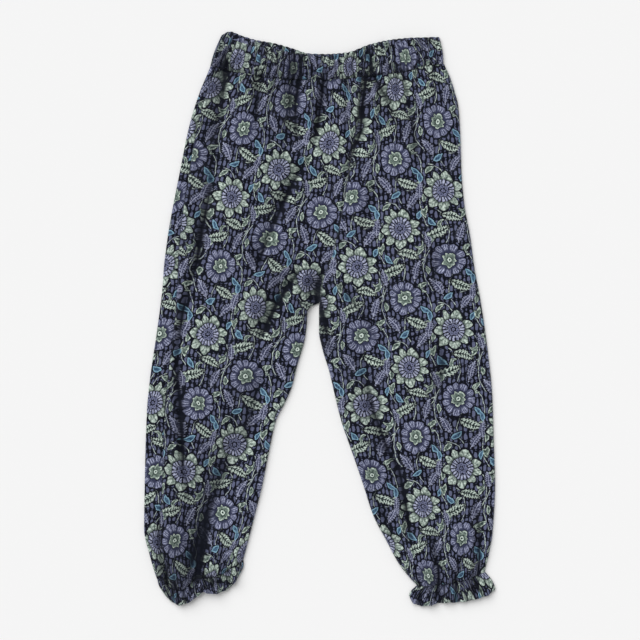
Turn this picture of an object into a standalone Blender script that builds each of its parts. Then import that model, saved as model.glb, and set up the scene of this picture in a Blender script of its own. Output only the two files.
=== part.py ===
"""Pull-on harem pants for a child of three or four, laid flat on their back.

Seven sewn pieces: a gathered waistband ring, two front legs, two back legs, and a gathered
elastic hem with a small ruffle on each leg. Lengths are in millimetres until a mesh is made.
+Y runs from the hems up to the waistband, +Z up from the surface the pants lie on, and the
wearer's right leg is at -X.
"""

import math

import bmesh
import bpy
import numpy as np

for thing in list(bpy.data.objects):
    bpy.data.objects.remove(thing, do_unlink=True)

MM = 0.001

# ---------------------------------------------------------------- driving sizes, millimetres
SEAM_GAP = 0.3              # between two pieces sewn to each other
BACK_WALL = 1.6             # a back leg, flat on the surface
FRONT_WALL = 1.4            # a front leg where it lies flat
FRONT_LIFT = 5.2            # the highest a front leg stands over its flat state
UNDER_SHARE = 0.70          # how much of that lift its underside follows
CASING_WALL = 1.7           # waistband: cloth doubled over elastic
CASING_GAP = 0.5            # between the waistband's two layers
RUFFLE_WALL = 1.5           # hem ruffle
EDGE_ROUND = 0.7            # how far a wall's edge is rounded off
EDGE_FALL = 9.0             # how quickly a front leg rises from its outline
EDGE_ROLL = 3.5             # nearer its outline than this, its folds flatten out
EDGE_SHARE = 0.25           # to this share of their height
PARTING_START = 6.0         # from this high over the crotch the legs' inner edges come down
LEG_PARTING = 30.0          # over this run
SEAM_BRIDGE = 80.0          # above it, the centre seam lies as far from any edge as this
BASE_LIFT = 2.3             # lift of an even stretch of front leg
FOLD_RADIUS = 2.6           # the right leg's edge, where the back rolls over to the front
BACK_SAG = 14.5             # how far the back's waist seam sags between the sides
EDGE_STEP_POWER = 8         # how near its edge the right leg takes the step at the crotch

WAIST_LEVEL = 246.0         # level of the waist seam before it is bent into its curve
HIP_LEVEL = 150.0           # below this the levels run straight across
SHIN_LEVEL = -175.0         # below this the levels bend towards the hem's seam
CUFF_LEVEL = -258.0         # level of the hem's seam before it is bent
CROTCH_LEVEL = 16.0         # lowest level of the centre seam

# Levels of the leg walls, from the waist seam down to the hem's seam.
HIP_ROWS = 16
CROTCH_ROWS = (12.5, 6.0, -4.0)
SHIN_ROWS = 14
HIP_CROWDING = 0.38         # how much of their spacing grows from the waist down
HIP_POWER = 1.6             # and how quickly
SETTLING_ROUNDS = 4         # after these a point has settled on the curved waist seam

WAIST_GATHERS = 38          # gathers across the front of the waistband
LEG_PLEATS = 13             # softer pleats below it, across both front legs
PLEAT_REACH = 55.0          # how far down they fade out
PLEAT_HEIGHT = 1.15         # their mean height, and how much it changes across the waist
PLEAT_CHANGE = 0.55
RUFFLE_WAVES = 11           # waves across one hem
GATHER_REACH = 38.0         # how far up the leg they fade out
GATHER_HEIGHT = 0.9
GATHER_FULLNESS = 0.8       # how much higher the gathered cloth stands
RUMPLE_HEIGHT = 0.35        # slow unevenness of cloth that has been washed
RUMPLE_ACROSS, RUMPLE_ALONG, RUMPLE_SLANT = 17.0, 29.0, 60.0
# Spacing wanders by these shares of the width: amount, turns and start.
SPACING_WANDER = ((0.0045, 15.1, 1.0), (0.0026, 37.7, 2.3))
HEM_WANDER = 2.4            # and this many times as much at a hem

# Waistband and hem ruffles, rows from the seam at 0 to the edge at 1.
CASING_ROWS = (0.0, 0.3, 0.7, 1.0)
CASING_BULGE = 1.2          # how far the waistband's ends bow out
CASING_FULLNESS = 0.9       # how high it stands over its flat ends
CASING_HEIGHT = 0.6         # its gathers, and how much they change along it
CASING_CHANGE = 0.3
CASING_SLACK = 0.35         # how much lower they are half way up
CASING_END = 4.0            # points over which they rise from each end
RUFFLE_ROWS = (0.0, 0.28, 0.62, 1.0)
RUFFLE_BULGE = 1.6
RUFFLE_FULLNESS = 1.5
RUFFLE_HEIGHT = 1.1         # of its waves
RUFFLE_TIGHT, RUFFLE_SWELL = 0.75, 0.45     # share of it at the seam, and what swells below
RUFFLE_END = 0.08           # share of the width over which they rise from each end
RUFFLE_FOLD_SHARE = 0.6     # how much of the leg's folds run on into it

COTTON_ROUGHNESS = 0.85
SHARP_ANGLE = math.radians(50)


# ------------------------------------------------------------------------- tables of sections
# Waistband, a row for each station along its seam: the seam, then its top edge. The back
# layer stands a little higher than the front one on the right side.
WAISTBAND = {
    "columns": ("seam_x", "seam_y", "edge_x", "front_edge_y", "back_edge_y"),
    "rows": (
        (-109.5, 253.3, -98.2, 282.6, 283.8),
        (-100.0, 250.5, -90.0, 280.6, 287.2),
        (-86.0, 247.0, -79.0, 276.0, 283.4),
        (-70.0, 244.5, -64.0, 272.8, 278.8),
        (-51.0, 240.5, -46.0, 270.0, 275.6),
        (-30.0, 239.6, -27.0, 265.8, 270.2),
        (-10.0, 239.2, -10.0, 264.2, 265.2),
        (6.0, 239.0, 6.0, 263.8, 264.7),
        (27.0, 240.3, 27.0, 265.8, 266.3),
        (50.0, 242.4, 50.0, 273.8, 274.4),
        (79.0, 246.0, 72.0, 278.7, 279.2),
        (102.0, 252.3, 94.0, 280.7, 281.2),
        (123.7, 255.0, 119.5, 281.0, 281.8),
    ),
}

# Outlines, a row for each level: the centre seam, the two inseams and the two sides.
CENTRE_SEAM = (
    (258.0, 42.0), (234.0, 41.5), (199.0, 38.5), (175.0, 33.5), (114.0, 24.0), (63.0, 12.5),
    (40.0, 4.0), (16.0, 0.0),
)
RIGHT_INSEAM = (
    (12.5, -8.3), (6.0, -12.3), (-4.0, -12.7), (-21.0, -15.0), (-45.0, -22.0),
    (-69.0, -28.2), (-85.0, -35.2), (-101.0, -43.4), (-133.0, -50.7), (-165.0, -57.0),
    (-197.0, -65.0), (-229.0, -73.2), (-241.0, -76.5), (-290.0, -90.0),
)
# The right leg's cloth passes the crotch on this smoother line; only its edge takes the step.
RIGHT_FLOW = ((20.0, -3.0), (0.0, -10.0), (-21.0, -15.0))
LEFT_INSEAM = (
    (12.0, -0.9), (-13.0, -0.9), (-29.0, 2.2), (-53.0, 9.4), (-77.0, 15.0), (-101.0, 21.0),
    (-133.0, 32.0), (-165.0, 43.0), (-197.0, 53.5), (-221.0, 66.0), (-245.0, 79.0),
    (-261.0, 91.5), (-267.0, 97.0), (-290.0, 102.0),
)
RIGHT_SIDE = (
    (262.0, -106.5), (251.0, -110.0), (227.0, -120.0), (195.0, -130.0), (147.0, -140.0),
    (83.0, -152.0), (51.0, -156.0), (35.0, -157.0), (-13.0, -163.0), (-61.0, -170.0),
    (-93.0, -173.0), (-157.0, -175.0), (-210.0, -175.75), (-237.0, -170.0),
    (-261.0, -162.5), (-290.0, -149.0),
)
LEFT_SIDE = (
    (262.0, 122.5), (255.0, 124.6), (243.0, 130.0), (227.0, 135.3), (211.0, 139.0),
    (179.0, 141.0), (147.0, 142.0), (115.0, 144.8), (83.0, 150.6), (51.0, 155.0),
    (19.0, 160.9), (-29.0, 167.9), (-77.0, 172.8), (-125.0, 174.4), (-165.0, 175.6),
    (-213.0, 173.2), (-237.0, 169.0), (-253.0, 165.4), (-290.0, 163.0),
)
# How far the right side seam has rolled in from the outline, a row for each level.
RIGHT_ROLL = (
    (262.0, 5.5), (200.0, 8.0), (150.0, 9.5), (100.0, 11.5), (35.0, 15.0), (-60.0, 18.0),
    (-150.0, 18.0), (-230.0, 14.0), (-290.0, 10.0),
)

# Hems, a row for each station from the inseam to the side: level of the seam, hem edge.
RIGHT_HEM = {
    "columns": ("across", "seam_y", "edge_x", "edge_y"),
    "rows": (
        (0.00, -241.0, -79.5, -254.5),
        (0.12, -250.0, -86.0, -265.0),
        (0.25, -257.0, -97.5, -273.0),
        (0.37, -259.0, -107.5, -274.8),
        (0.48, -259.0, -116.0, -273.2),
        (0.58, -264.0, -124.0, -279.0),
        (0.67, -269.0, -132.5, -284.0),
        (0.76, -271.5, -140.0, -286.2),
        (0.86, -269.0, -147.0, -283.6),
        (0.93, -263.5, -151.5, -280.0),
        (0.965, -260.8, -153.8, -277.4),
        (1.00, -261.0, -155.5, -274.5),
    ),
}
LEFT_HEM = {
    "columns": ("across", "seam_y", "edge_x", "edge_y"),
    "rows": (
        (0.00, -267.0, 89.2, -277.0),
        (0.10, -267.3, 94.0, -284.6),
        (0.24, -266.5, 105.0, -287.2),
        (0.38, -265.5, 119.0, -284.2),
        (0.60, -263.0, 141.0, -283.0),
        (0.80, -259.0, 160.0, -279.0),
        (0.93, -255.5, 171.0, -274.5),
        (1.00, -253.3, 175.7, -269.5),
    ),
}

# The largest folds, a row each: name, half-width, height (below zero is a trough), the side
# it leans to (-1 to 1, a lean makes that flank steeper), and its line: x, y and the share of
# the height that it has there.
FOLDS = (
    ("pleat beside the middle", 4.0, -5.0, -0.3,
     ((4, 243, 0.8), (2, 219, 1.0), (-2, 192, 0.9), (-7, 172, 0.1))),
    ("middle gather", 4.8, -5.4, -0.2,
     ((-17, 268, 0.5), (-19, 243, 1.0), (-24, 218, 1.0), (-24, 194, 0.8), (-21, 170, 0.1))),
    ("centre seam pleat", 4.2, -5.8, -0.4,
     ((47, 243, 0.6), (43, 214, 1.0), (41, 186, 0.8), (31, 160, 0.6), (28, 132, 0.1))),
    ("left belly pleat", 4.6, -4.2, 0.3,
     ((49, 274, 0.7), (54, 244, 1.0), (65, 224, 0.9), (77, 196, 0.2))),
    ("left hip pleat", 4.6, -3.2, 0.0,
     ((84, 247, 0.7), (93, 200, 0.6), (97, 172, 0.9), (99, 150, 0.1))),
    ("right belly pleat", 4.6, -3.0, 0.0, ((-58, 243, 0.9), (-62, 215, 0.7), (-65, 188, 0.1))),
    ("belly roll", 9.0, 2.0, 0.0, ((-42, 236, 0.8), (-46, 198, 1.0), (-48, 162, 0.2))),
    ("lap roll", 10.0, 2.0, 0.0, ((21, 232, 0.8), (18, 195, 1.0), (15, 158, 0.2))),
    ("left hip roll", 9.0, 1.9, 0.0, ((106, 242, 1.0), (113, 175, 0.3))),
    ("lap crease", 5.2, -4.9, 0.3,
     ((-14, 158, 0.2), (-27, 135, 1.0), (-39, 109, 1.0), (-50, 84, 0.5), (-58, 64, 1.0),
      (-61, 46, 0.1))),
    ("lap roll below", 9.0, 1.4, 0.0, ((-14, 108, 1.0), (-30, 78, 0.5))),
    ("left lap crease", 7.0, -1.8, -0.3, ((52, 130, 1.0), (44, 84, 0.4))),
    ("left thigh crease", 6.0, -2.4, 0.3, ((120, 78, 0.3), (116, 50, 1.0), (112, 24, 0.2))),
    ("right hip hollow", 13.0, -2.2, 0.0,
     ((-94, 262, 1.0), (-98, 226, 0.9), (-106, 180, 0.7), (-112, 140, 0.5), (-118, 110, 0.1))),
    ("belly hollow", 12.0, -1.8, 0.0, ((-26, 262, 1.0), (-31, 205, 0.8), (-40, 150, 0.3))),
    ("right shin hollow", 17.0, -2.6, 0.0,
     ((-86, -112, 0.2), (-98, -152, 0.8), (-112, -196, 1.0), (-120, -240, 1.0))),
    ("left thigh hollow", 13.0, -1.6, 0.0, ((34, -30, 0.6), (52, -84, 1.0), (66, -130, 0.8))),
    ("crotch crease", 6.6, -5.2, 0.5,
     ((-22, 46, 0.4), (-30, 33, 1.0), (-42, 15, 1.0), (-53, -8, 1.0), (-62, -24, 0.2))),
    ("crotch pull", 8.0, -7.6, 0.0,
     ((3, 46, 0.2), (-1, 34, 0.8), (-1, 22, 1.0), (3, 6, 0.9), (7, -12, 0.5), (12, -36, 0.1))),
    ("left crotch pull", 6.0, -2.4, -0.4, ((20, 34, 0.6), (44, 4, 1.0), (62, -30, 0.2))),
    ("side fold", 4.8, -5.0, -0.6,
     ((-92, 252, 0.9), (-96, 226, 0.3), (-100, 192, 0.1), (-105, 150, 0.25), (-112, 116, 0.8),
      (-119, 80, 1.1), (-122, 58, 0.9), (-130, 34, 0.1), (-137, 6, 0.8), (-142, -28, 0.3),
      (-142, -60, 0.5), (-139, -90, 0.95), (-137, -128, 0.95), (-136, -150, 0.4),
      (-131, -178, 0.2))),
    ("side roll", 7.0, 1.6, 0.0,
     ((-126, 90, 0.6), (-133, 50, 1.0), (-150, 0, 1.0), (-155, -90, 0.4))),
    ("knee hollow", 12.0, -3.8, 0.0,
     ((-56, -50, 0.3), (-64, -74, 1.0), (-71, -108, 1.0), (-79, -136, 0.3))),
    ("left knee crease", 6.0, -3.6, 0.2, ((120, -26, 0.3), (124, -46, 1.0), (119, -74, 0.3))),
    ("left shin crease", 4.6, -4.8, -0.4,
     ((43, -36, 0.2), (54, -92, 0.5), (68, -130, 0.7), (80, -152, 1.0), (86, -184, 1.0),
      (90, -212, 0.7), (94, -228, 0.1))),
    ("left inner shin crease", 5.0, -3.0, 0.0, ((52, -168, 0.3), (64, -196, 1.0), (77, -222, 0.4))),
    ("left calf crease", 7.0, -1.8, 0.0, ((140, -108, 1.0), (143, -150, 0.2))),
    ("left ankle crease", 4.4, -4.2, 0.0,
     ((156, -184, 0.2), (160, -208, 0.8), (160, -240, 1.0), (158, -270, 0.9))),
    ("left hem crease", 4.4, -5.0, -0.3, ((113, -220, 0.4), (119, -250, 0.9), (120, -290, 1.0))),
    ("left hem first hollow", 4.0, -3.4, 0.0, ((99, -254, 0.3), (100, -270, 1.0), (99, -290, 1.0))),
    ("left hem second hollow", 4.0, -3.4, 0.0,
     ((139, -244, 0.2), (136, -268, 1.0), (135, -290, 1.0))),
    ("left hem roll", 8.0, 2.2, 0.0, ((130, -210, 0.7), (130, -252, 1.0))),
    ("right hem fold", 4.4, -7.0, 1.0,
     ((-107, -204, 0.1), (-112, -220, 0.4), (-115, -231, 1.0), (-118, -244, 1.3),
      (-121, -257, 1.3), (-124, -268, 0.6))),
    ("right hem branch", 4.6, -5.4, 0.0,
     ((-121, -256, 0.8), (-110, -262, 1.0), (-102, -263, 0.8), (-96, -262, 0.2))),
    ("right hem hollow", 10.0, -3.4, 0.0,
     ((-114, -196, 0.3), (-121, -214, 0.8), (-127, -236, 1.0), (-130, -250, 0.6))),
    ("right hem side hollow", 6.0, -3.0, 0.0,
     ((-146, -250, 0.3), (-144, -268, 1.0), (-140, -280, 0.6))),
    ("right hem roll", 6.0, 2.8, 0.0, ((-100, -202, 0.5), (-104, -226, 1.0), (-109, -246, 0.6))),
    ("right hem side crease", 4.6, -4.8, 0.0,
     ((-151, -236, 0.2), (-153, -258, 1.0), (-150, -285, 1.0))),
    ("right hem inner crease", 4.4, -3.2, 0.0,
     ((-97, -236, 0.1), (-92, -258, 1.0), (-91, -275, 1.0))),
    ("right ankle crease", 5.0, -2.4, 0.0,
     ((-158, -188, 0.2), (-160, -224, 0.9), (-157, -250, 0.8))),
)
FOLD_LIP = 0.38             # how high the cloth stands up beside a trough, of its depth
LIP_PLACE = 2.1             # and how far from it, in half-widths
LEAN_REACH = 0.7            # how much narrower a fold that leans is on its steep side


# ----------------------------------------------------------------------------- curves and maps
def smooth_curve(stations, values):
    """A monotone cubic through a table's rows, so nothing overshoots between them."""
    order = np.argsort(stations)
    at = np.asarray(stations, float)[order]
    value = np.asarray(values, float)[order]
    run = np.diff(at)
    slope = np.diff(value) / run
    tangent = np.concatenate(([slope[0]], np.zeros(len(at) - 2), [slope[-1]]))
    same_way = slope[:-1] * slope[1:] > 0
    harmonic = 2 * slope[:-1] * slope[1:] / np.where(same_way, slope[:-1] + slope[1:], 1.0)
    tangent[1:-1] = np.where(same_way, harmonic, 0.0)

    def read(position):
        position = np.clip(position, at[0], at[-1])
        index = np.clip(np.searchsorted(at, position) - 1, 0, len(run) - 1)
        share = (position - at[index]) / run[index]
        left, right = value[index], value[index + 1]
        rise = run[index] * tangent[index]
        fall = run[index] * tangent[index + 1]
        return (left * (1 + 2 * share) * (1 - share) ** 2 + rise * share * (1 - share) ** 2
                + right * share ** 2 * (3 - 2 * share) + fall * share ** 2 * (share - 1))

    return read


def column(table, name):
    """One named column of a table, as a curve over its first column."""
    place = table["columns"].index(name)
    return smooth_curve([row[0] for row in table["rows"]], [row[place] for row in table["rows"]])


def edge_curve(*tables):
    rows = [row for table in tables for row in table]
    return smooth_curve([row[0] for row in rows], [row[1] for row in rows])


def ease(value):
    """0 below 0, 1 above 1, and a smooth step between."""
    value = np.clip(value, 0.0, 1.0)
    return value * value * (3 - 2 * value)


def soft_limit(value, top):
    """Keeps a height between 0 and top without a corner."""
    half = top / 2
    return half * (1 + np.tanh((value - half) / half))


waist_seam_y = column(WAISTBAND, "seam_y")
WAIST_RIGHT = WAISTBAND["rows"][0][0]
WAIST_WIDTH = WAISTBAND["rows"][-1][0] - WAIST_RIGHT


def back_waist_seam_y(x):
    """The back's waist seam: one even sag between the ends of the front's."""
    share = (x - WAIST_RIGHT) / WAIST_WIDTH
    ends = WAISTBAND["rows"][0][1] * (1 - share) + WAISTBAND["rows"][-1][1] * share
    return ends - 4 * BACK_SAG * share * (1 - share)


class Leg:
    """Where a leg's cloth lies: across runs 0 at its inner edge to 1 at its side."""

    def __init__(self, name, inner, flow, side, hem, roll):
        self.name = name
        self.inner = inner
        self.flow = flow
        self.side = side
        self.hem = hem
        self.roll = roll
        self.hem_level = column(hem, "seam_y")
        first, last = hem["rows"][0], hem["rows"][-1]
        self.back_hem_level = edge_curve((first[:2], last[:2]))

    def plan(self, across, level, back=False):
        """X and Y of a point on the leg; the back's waist and hem seams are plainer."""
        waist = ease((level - HIP_LEVEL) / (WAIST_LEVEL - HIP_LEVEL))
        cuff = ease((SHIN_LEVEL - level) / (SHIN_LEVEL - CUFF_LEVEL))
        hem_level = self.back_hem_level if back else self.hem_level
        seam_y = back_waist_seam_y if back else waist_seam_y
        y = level + cuff * (hem_level(across) - CUFF_LEVEL)
        base = y
        x = 0.0
        for _ in range(SETTLING_ROUNDS):
            step = (self.inner(y) - self.flow(y)) * (1 - across) ** EDGE_STEP_POWER
            x = self.flow(y) + across * (self.side(y) - self.flow(y)) + step
            y = base + waist * (seam_y(x) - SEAM_GAP - WAIST_LEVEL)
        return x, y

    def side_seam(self, level):
        """How far across the side seam lies: 1 where it is on the outline."""
        if self.roll is None:
            return 1.0
        width = abs(self.side(level) - self.inner(level))
        return 1.0 - self.roll(level) / width

    def lift(self, across, level):
        """How high the front cloth stands over its flat state."""
        x, y = self.plan(across, level)
        width = abs(self.side(y) - self.inner(y))
        split = ease((CROTCH_LEVEL + PARTING_START - y) / LEG_PARTING)
        from_side = (1 - across) * width
        from_inner = across * width + (1 - split) * SEAM_BRIDGE
        edge = np.minimum(from_side, from_inner)
        raw = BASE_LIFT * (1 - np.exp(-edge / EDGE_FALL)) + folds_at(x, y)
        raw = raw + pleats_at(x, WAIST_LEVEL - level) + hem_gathers(across, level - CUFF_LEVEL)
        raw = raw + rumples_at(x, y)
        fall = 1 - bump(edge, EDGE_ROLL)
        return soft_limit(raw * (EDGE_SHARE + (1 - EDGE_SHARE) * fall), FRONT_LIFT)


def rumples_at(x, y):
    """Slow waves across the cloth, which cross others that run along it."""
    along = y / RUMPLE_ALONG + x / RUMPLE_SLANT
    return RUMPLE_HEIGHT * np.sin(x / RUMPLE_ACROSS + 1.1) * np.sin(along)


def bump(distance, width):
    """1 at no distance, falling off smoothly over a width."""
    return np.exp(-(distance / width) ** 2)


def folds_at(x, y):
    """Height that the table of folds adds at a point."""
    shape = np.broadcast(x, y).shape
    total = np.zeros(shape)
    for _, half_width, height, lean, line in FOLDS:
        nearest, flank, share = np.full(shape, math.inf), np.zeros(shape), np.zeros(shape)
        for (ax, ay, a_share), (bx, by, b_share) in zip(line[:-1], line[1:]):
            run_x, run_y = bx - ax, by - ay
            length = math.hypot(run_x, run_y)
            along = np.clip(((x - ax) * run_x + (y - ay) * run_y) / length ** 2, 0.0, 1.0)
            off_x = x - ax - along * run_x
            off_y = y - ay - along * run_y
            gap = np.hypot(off_x, off_y)
            closer = gap < nearest
            flank = np.where(closer, (off_x * run_y - off_y * run_x) / length, flank)
            share = np.where(closer, a_share + along * (b_share - a_share), share)
            nearest = np.minimum(gap, nearest)
        width = half_width * (1 + LEAN_REACH * lean * np.tanh(2 * flank / half_width))
        profile = bump(nearest, width)
        if height < 0:
            profile = profile - FOLD_LIP * bump(nearest - LIP_PLACE * width, width)
        total = total + height * share * profile
    return total


def uneven(share, seed):
    """A slow wander of an even spacing, so that no two gathers are alike."""
    return sum(amount * np.sin(turns * share + start * seed)
               for amount, turns, start in SPACING_WANDER)


def pleats_at(x, below_waist):
    """Soft pleats that the waist elastic draws into the front legs."""
    share = (x - WAIST_RIGHT) / WAIST_WIDTH
    fade = np.exp(-np.maximum(below_waist, 0.0) / PLEAT_REACH)
    strength = PLEAT_HEIGHT + PLEAT_CHANGE * np.sin(11.0 * share + 0.6)
    return fade * strength * np.cos(2 * math.pi * LEG_PLEATS * (share + uneven(share, 1.7)))


def hem_gathers(across, above_hem):
    """Gathers that the hem elastic draws into a leg."""
    fade = np.exp(-np.maximum(above_hem, 0.0) / GATHER_REACH)
    return fade * (GATHER_HEIGHT * ruffle_wave(across) + GATHER_FULLNESS)


def ruffle_wave(across):
    """A hem's waves, from -1 to 1."""
    return np.cos(2 * math.pi * RUFFLE_WAVES * (across + HEM_WANDER * uneven(across, 0.4)))


right_flow = edge_curve(CENTRE_SEAM[:-1], RIGHT_FLOW, RIGHT_INSEAM[4:])
left_inner = edge_curve(CENTRE_SEAM, LEFT_INSEAM)
RIGHT = Leg("right", edge_curve(CENTRE_SEAM, RIGHT_INSEAM), right_flow, edge_curve(RIGHT_SIDE),
            RIGHT_HEM, edge_curve(RIGHT_ROLL))
LEFT = Leg("left", left_inner, left_inner, edge_curve(LEFT_SIDE), LEFT_HEM, None)


# ----------------------------------------------------------------------------- walls and meshes
def wall_mesh(name, outer, inner, ring, colour):
    """A closed wall between two grids of points, [row][place], each X, Y, Z in millimetres."""
    rows, places = outer.shape[:2]
    points = np.concatenate((outer.reshape(-1, 3), inner.reshape(-1, 3))) * MM
    far = rows * places

    def spot(layer, row, place):
        return layer * far + row * places + place % places

    faces = []
    last = places if ring else places - 1
    for row in range(rows - 1):
        for place in range(last):
            a, b = spot(0, row, place), spot(0, row, place + 1)
            c, d = spot(0, row + 1, place + 1), spot(0, row + 1, place)
            faces += [(a, b, c), (a, c, d)]
            faces += [(far + a, far + c, far + b), (far + a, far + d, far + c)]
    rims = [[(0, place) for place in range(last + 1)],
            [(rows - 1, place) for place in range(last + 1)]]
    if not ring:
        rims += [[(row, 0) for row in range(rows)], [(row, places - 1) for row in range(rows)]]
    for rim in rims:
        for (row_a, place_a), (row_b, place_b) in zip(rim[:-1], rim[1:]):
            a, b = spot(0, row_a, place_a), spot(0, row_b, place_b)
            faces += [(a, b, far + b), (a, far + b, far + a)]
    mesh = bpy.data.meshes.new(name)
    mesh.from_pydata([tuple(point) for point in points], [], faces)
    shell = bmesh.new()
    shell.from_mesh(mesh)
    bmesh.ops.recalc_face_normals(shell, faces=shell.faces)
    shell.to_mesh(mesh)
    shell.free()
    mesh.materials.append(cloth_material(name, colour))
    mesh.shade_smooth()
    mesh.set_sharp_from_angle(angle=SHARP_ANGLE)
    piece = bpy.data.objects.new(name, mesh)
    bpy.context.scene.collection.objects.link(piece)
    return piece


def cloth_material(name, colour):
    material = bpy.data.materials.new(name + "_cloth")
    material.use_nodes = True
    shader = material.node_tree.nodes["Principled BSDF"]
    shader.inputs["Base Color"].default_value = (*colour, 1.0)
    shader.inputs["Roughness"].default_value = COTTON_ROUGHNESS
    shader.inputs["Metallic"].default_value = 0.0
    material.diffuse_color = (*colour, 1.0)
    return material


def stack(x, y, z):
    return np.stack(np.broadcast_arrays(x, y, z), axis=-1)


def even_shares(places):
    return np.linspace(0.0, 1.0, places + 1)[None, :]


def leg_levels():
    share = np.linspace(0.0, 1.0, HIP_ROWS)
    share = (1 - HIP_CROWDING) * share + HIP_CROWDING * share ** HIP_POWER
    hip = WAIST_LEVEL + (CROTCH_LEVEL - WAIST_LEVEL) * share
    shin = np.linspace(CROTCH_ROWS[-1], CUFF_LEVEL, SHIN_ROWS + 1)[1:]
    return np.concatenate((hip, CROTCH_ROWS, shin))


LEVELS = leg_levels()[:, None]


def front_heights(leg, across, level):
    """Underside and top of a front wall."""
    lift = leg.lift(across, level)
    under = BACK_WALL + SEAM_GAP + UNDER_SHARE * lift
    return under, under + FRONT_WALL + (1 - UNDER_SHARE) * lift


def round_off(grid, inset):
    """Draws a grid's border in, so the wall's edge is rounded."""
    grid = grid.copy()
    for border, inside in ((grid[:, 0], grid[:, 1]), (grid[:, -1], grid[:, -2]),
                           (grid[0], grid[1]), (grid[-1], grid[-2])):
        way = (inside - border)[:, :2]
        way = way / np.linalg.norm(way, axis=1, keepdims=True)
        border[:, :2] += inset * way
    return grid


def front_leg(leg, places, colour):
    """A front panel: a wall from the inner edge to the side seam, over the back panel."""
    across = even_shares(places) * leg.side_seam(LEVELS)
    x, y = leg.plan(across, LEVELS)
    half_gap = SEAM_GAP / 2
    outwards = -1.0 if leg is RIGHT else 1.0
    x = x.copy()
    x[:, 0] += outwards * half_gap
    if leg.roll is not None:
        x[:, -1] -= outwards * half_gap
    under, top = front_heights(leg, across, LEVELS)
    outer = round_off(stack(x, y, top), EDGE_ROUND)
    return wall_mesh("front_" + leg.name + "_leg", outer, stack(x, y, under), False, colour)


def back_left_leg(places, colour):
    """A plain back panel, flat on the surface."""
    x, y = LEFT.plan(even_shares(places), LEVELS, back=True)
    x = x.copy()
    x[:, 0] += SEAM_GAP / 2
    under = round_off(stack(x, y, 0.0), EDGE_ROUND)
    return wall_mesh("back_left_leg", stack(x, y, BACK_WALL), under, False, colour)


LIP_PLACES = 5              # across the strip of back leg that shows on top
ROLL_ANGLES = np.radians(np.linspace(-60.0, 60.0, 4))[None, :]


def back_right_leg(places, colour):
    """A back panel whose side rolls over the leg's edge and shows beside the front panel."""
    flat = even_shares(places)
    lip = even_shares(LIP_PLACES)
    width = abs(RIGHT.side(LEVELS) - RIGHT.inner(LEVELS))
    turn = 1.0 - FOLD_RADIUS / width
    seam = RIGHT.side_seam(LEVELS)
    inner_radius = FOLD_RADIUS - BACK_WALL

    flat_x, flat_y = RIGHT.plan(flat * turn, LEVELS, back=True)
    flat_x = flat_x.copy()
    flat_x[:, 0] -= SEAM_GAP / 2
    lip_across = turn + lip * (seam - turn)
    lip_x, lip_y = RIGHT.plan(lip_across, LEVELS)
    lip_x = lip_x.copy()
    lip_x[:, -1] -= SEAM_GAP / 2
    under, top = front_heights(RIGHT, lip_across, LEVELS)

    climb = (1 + np.sin(ROLL_ANGLES)) / 2

    def rolled(radius, floor, height):
        """Points round the fold, whose levels pass from the back's to the front's."""
        across = turn + radius * np.cos(ROLL_ANGLES) / width
        back_x, back_y = RIGHT.plan(across, LEVELS, back=True)
        front_x, front_y = RIGHT.plan(across, LEVELS)
        return stack(back_x + climb * (front_x - back_x), back_y + climb * (front_y - back_y),
                     floor + climb * height)

    outer = np.concatenate((stack(flat_x, flat_y, 0.0), rolled(FOLD_RADIUS, 0.0, top[:, :1]),
                            stack(lip_x, lip_y, top)), axis=1)
    inner = np.concatenate((stack(flat_x, flat_y, BACK_WALL),
                            rolled(inner_radius, BACK_WALL, under[:, :1] - BACK_WALL),
                            stack(lip_x, lip_y, under)), axis=1)
    return wall_mesh("back_right_leg", outer, inner, False, colour)


def flat_ring(name, front, back, width, shares, front_z, wall, gap, plain_inside, colour):
    """A tube lying flat: a front layer, a back layer and the two rounded ends between them.

    front and back give a layer's [row][place] points at some shares of its width; shares is
    the front's and the back's own row of them, and front_z is the top of the front layer.
    """
    front_shares, back_shares = shares
    inner_floor = wall + gap

    def drawn_in(share, inset):
        return inset / width + share * (1 - 2 * inset / width)

    def level_points(points, height):
        return stack(points[:, :, 0], points[:, :, 1], height)

    ends_out = level_points(front(np.array([[0.0, 1.0]])), front_z[:, [0, -1]] / 2)
    ends_in = level_points(front(drawn_in(np.array([[0.0, 1.0]]), wall)), wall + gap / 2)
    top = level_points(front(drawn_in(front_shares, EDGE_ROUND)), front_z)
    bottom = level_points(back(drawn_in(back_shares, EDGE_ROUND)), 0.0)
    under_z = inner_floor if plain_inside else front_z - wall
    under = level_points(front(drawn_in(front_shares, wall + EDGE_ROUND)), under_z)
    floor = level_points(back(drawn_in(back_shares, wall + EDGE_ROUND)), wall)
    outer = (ends_out[:, :1], top, ends_out[:, 1:], bottom[:, ::-1])
    inner = (ends_in[:, :1], under, ends_in[:, 1:], floor[:, ::-1])
    return wall_mesh(name, np.concatenate(outer, axis=1), np.concatenate(inner, axis=1), True,
                     colour)


GATHER_PLACES = 3           # points across one gather


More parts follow.
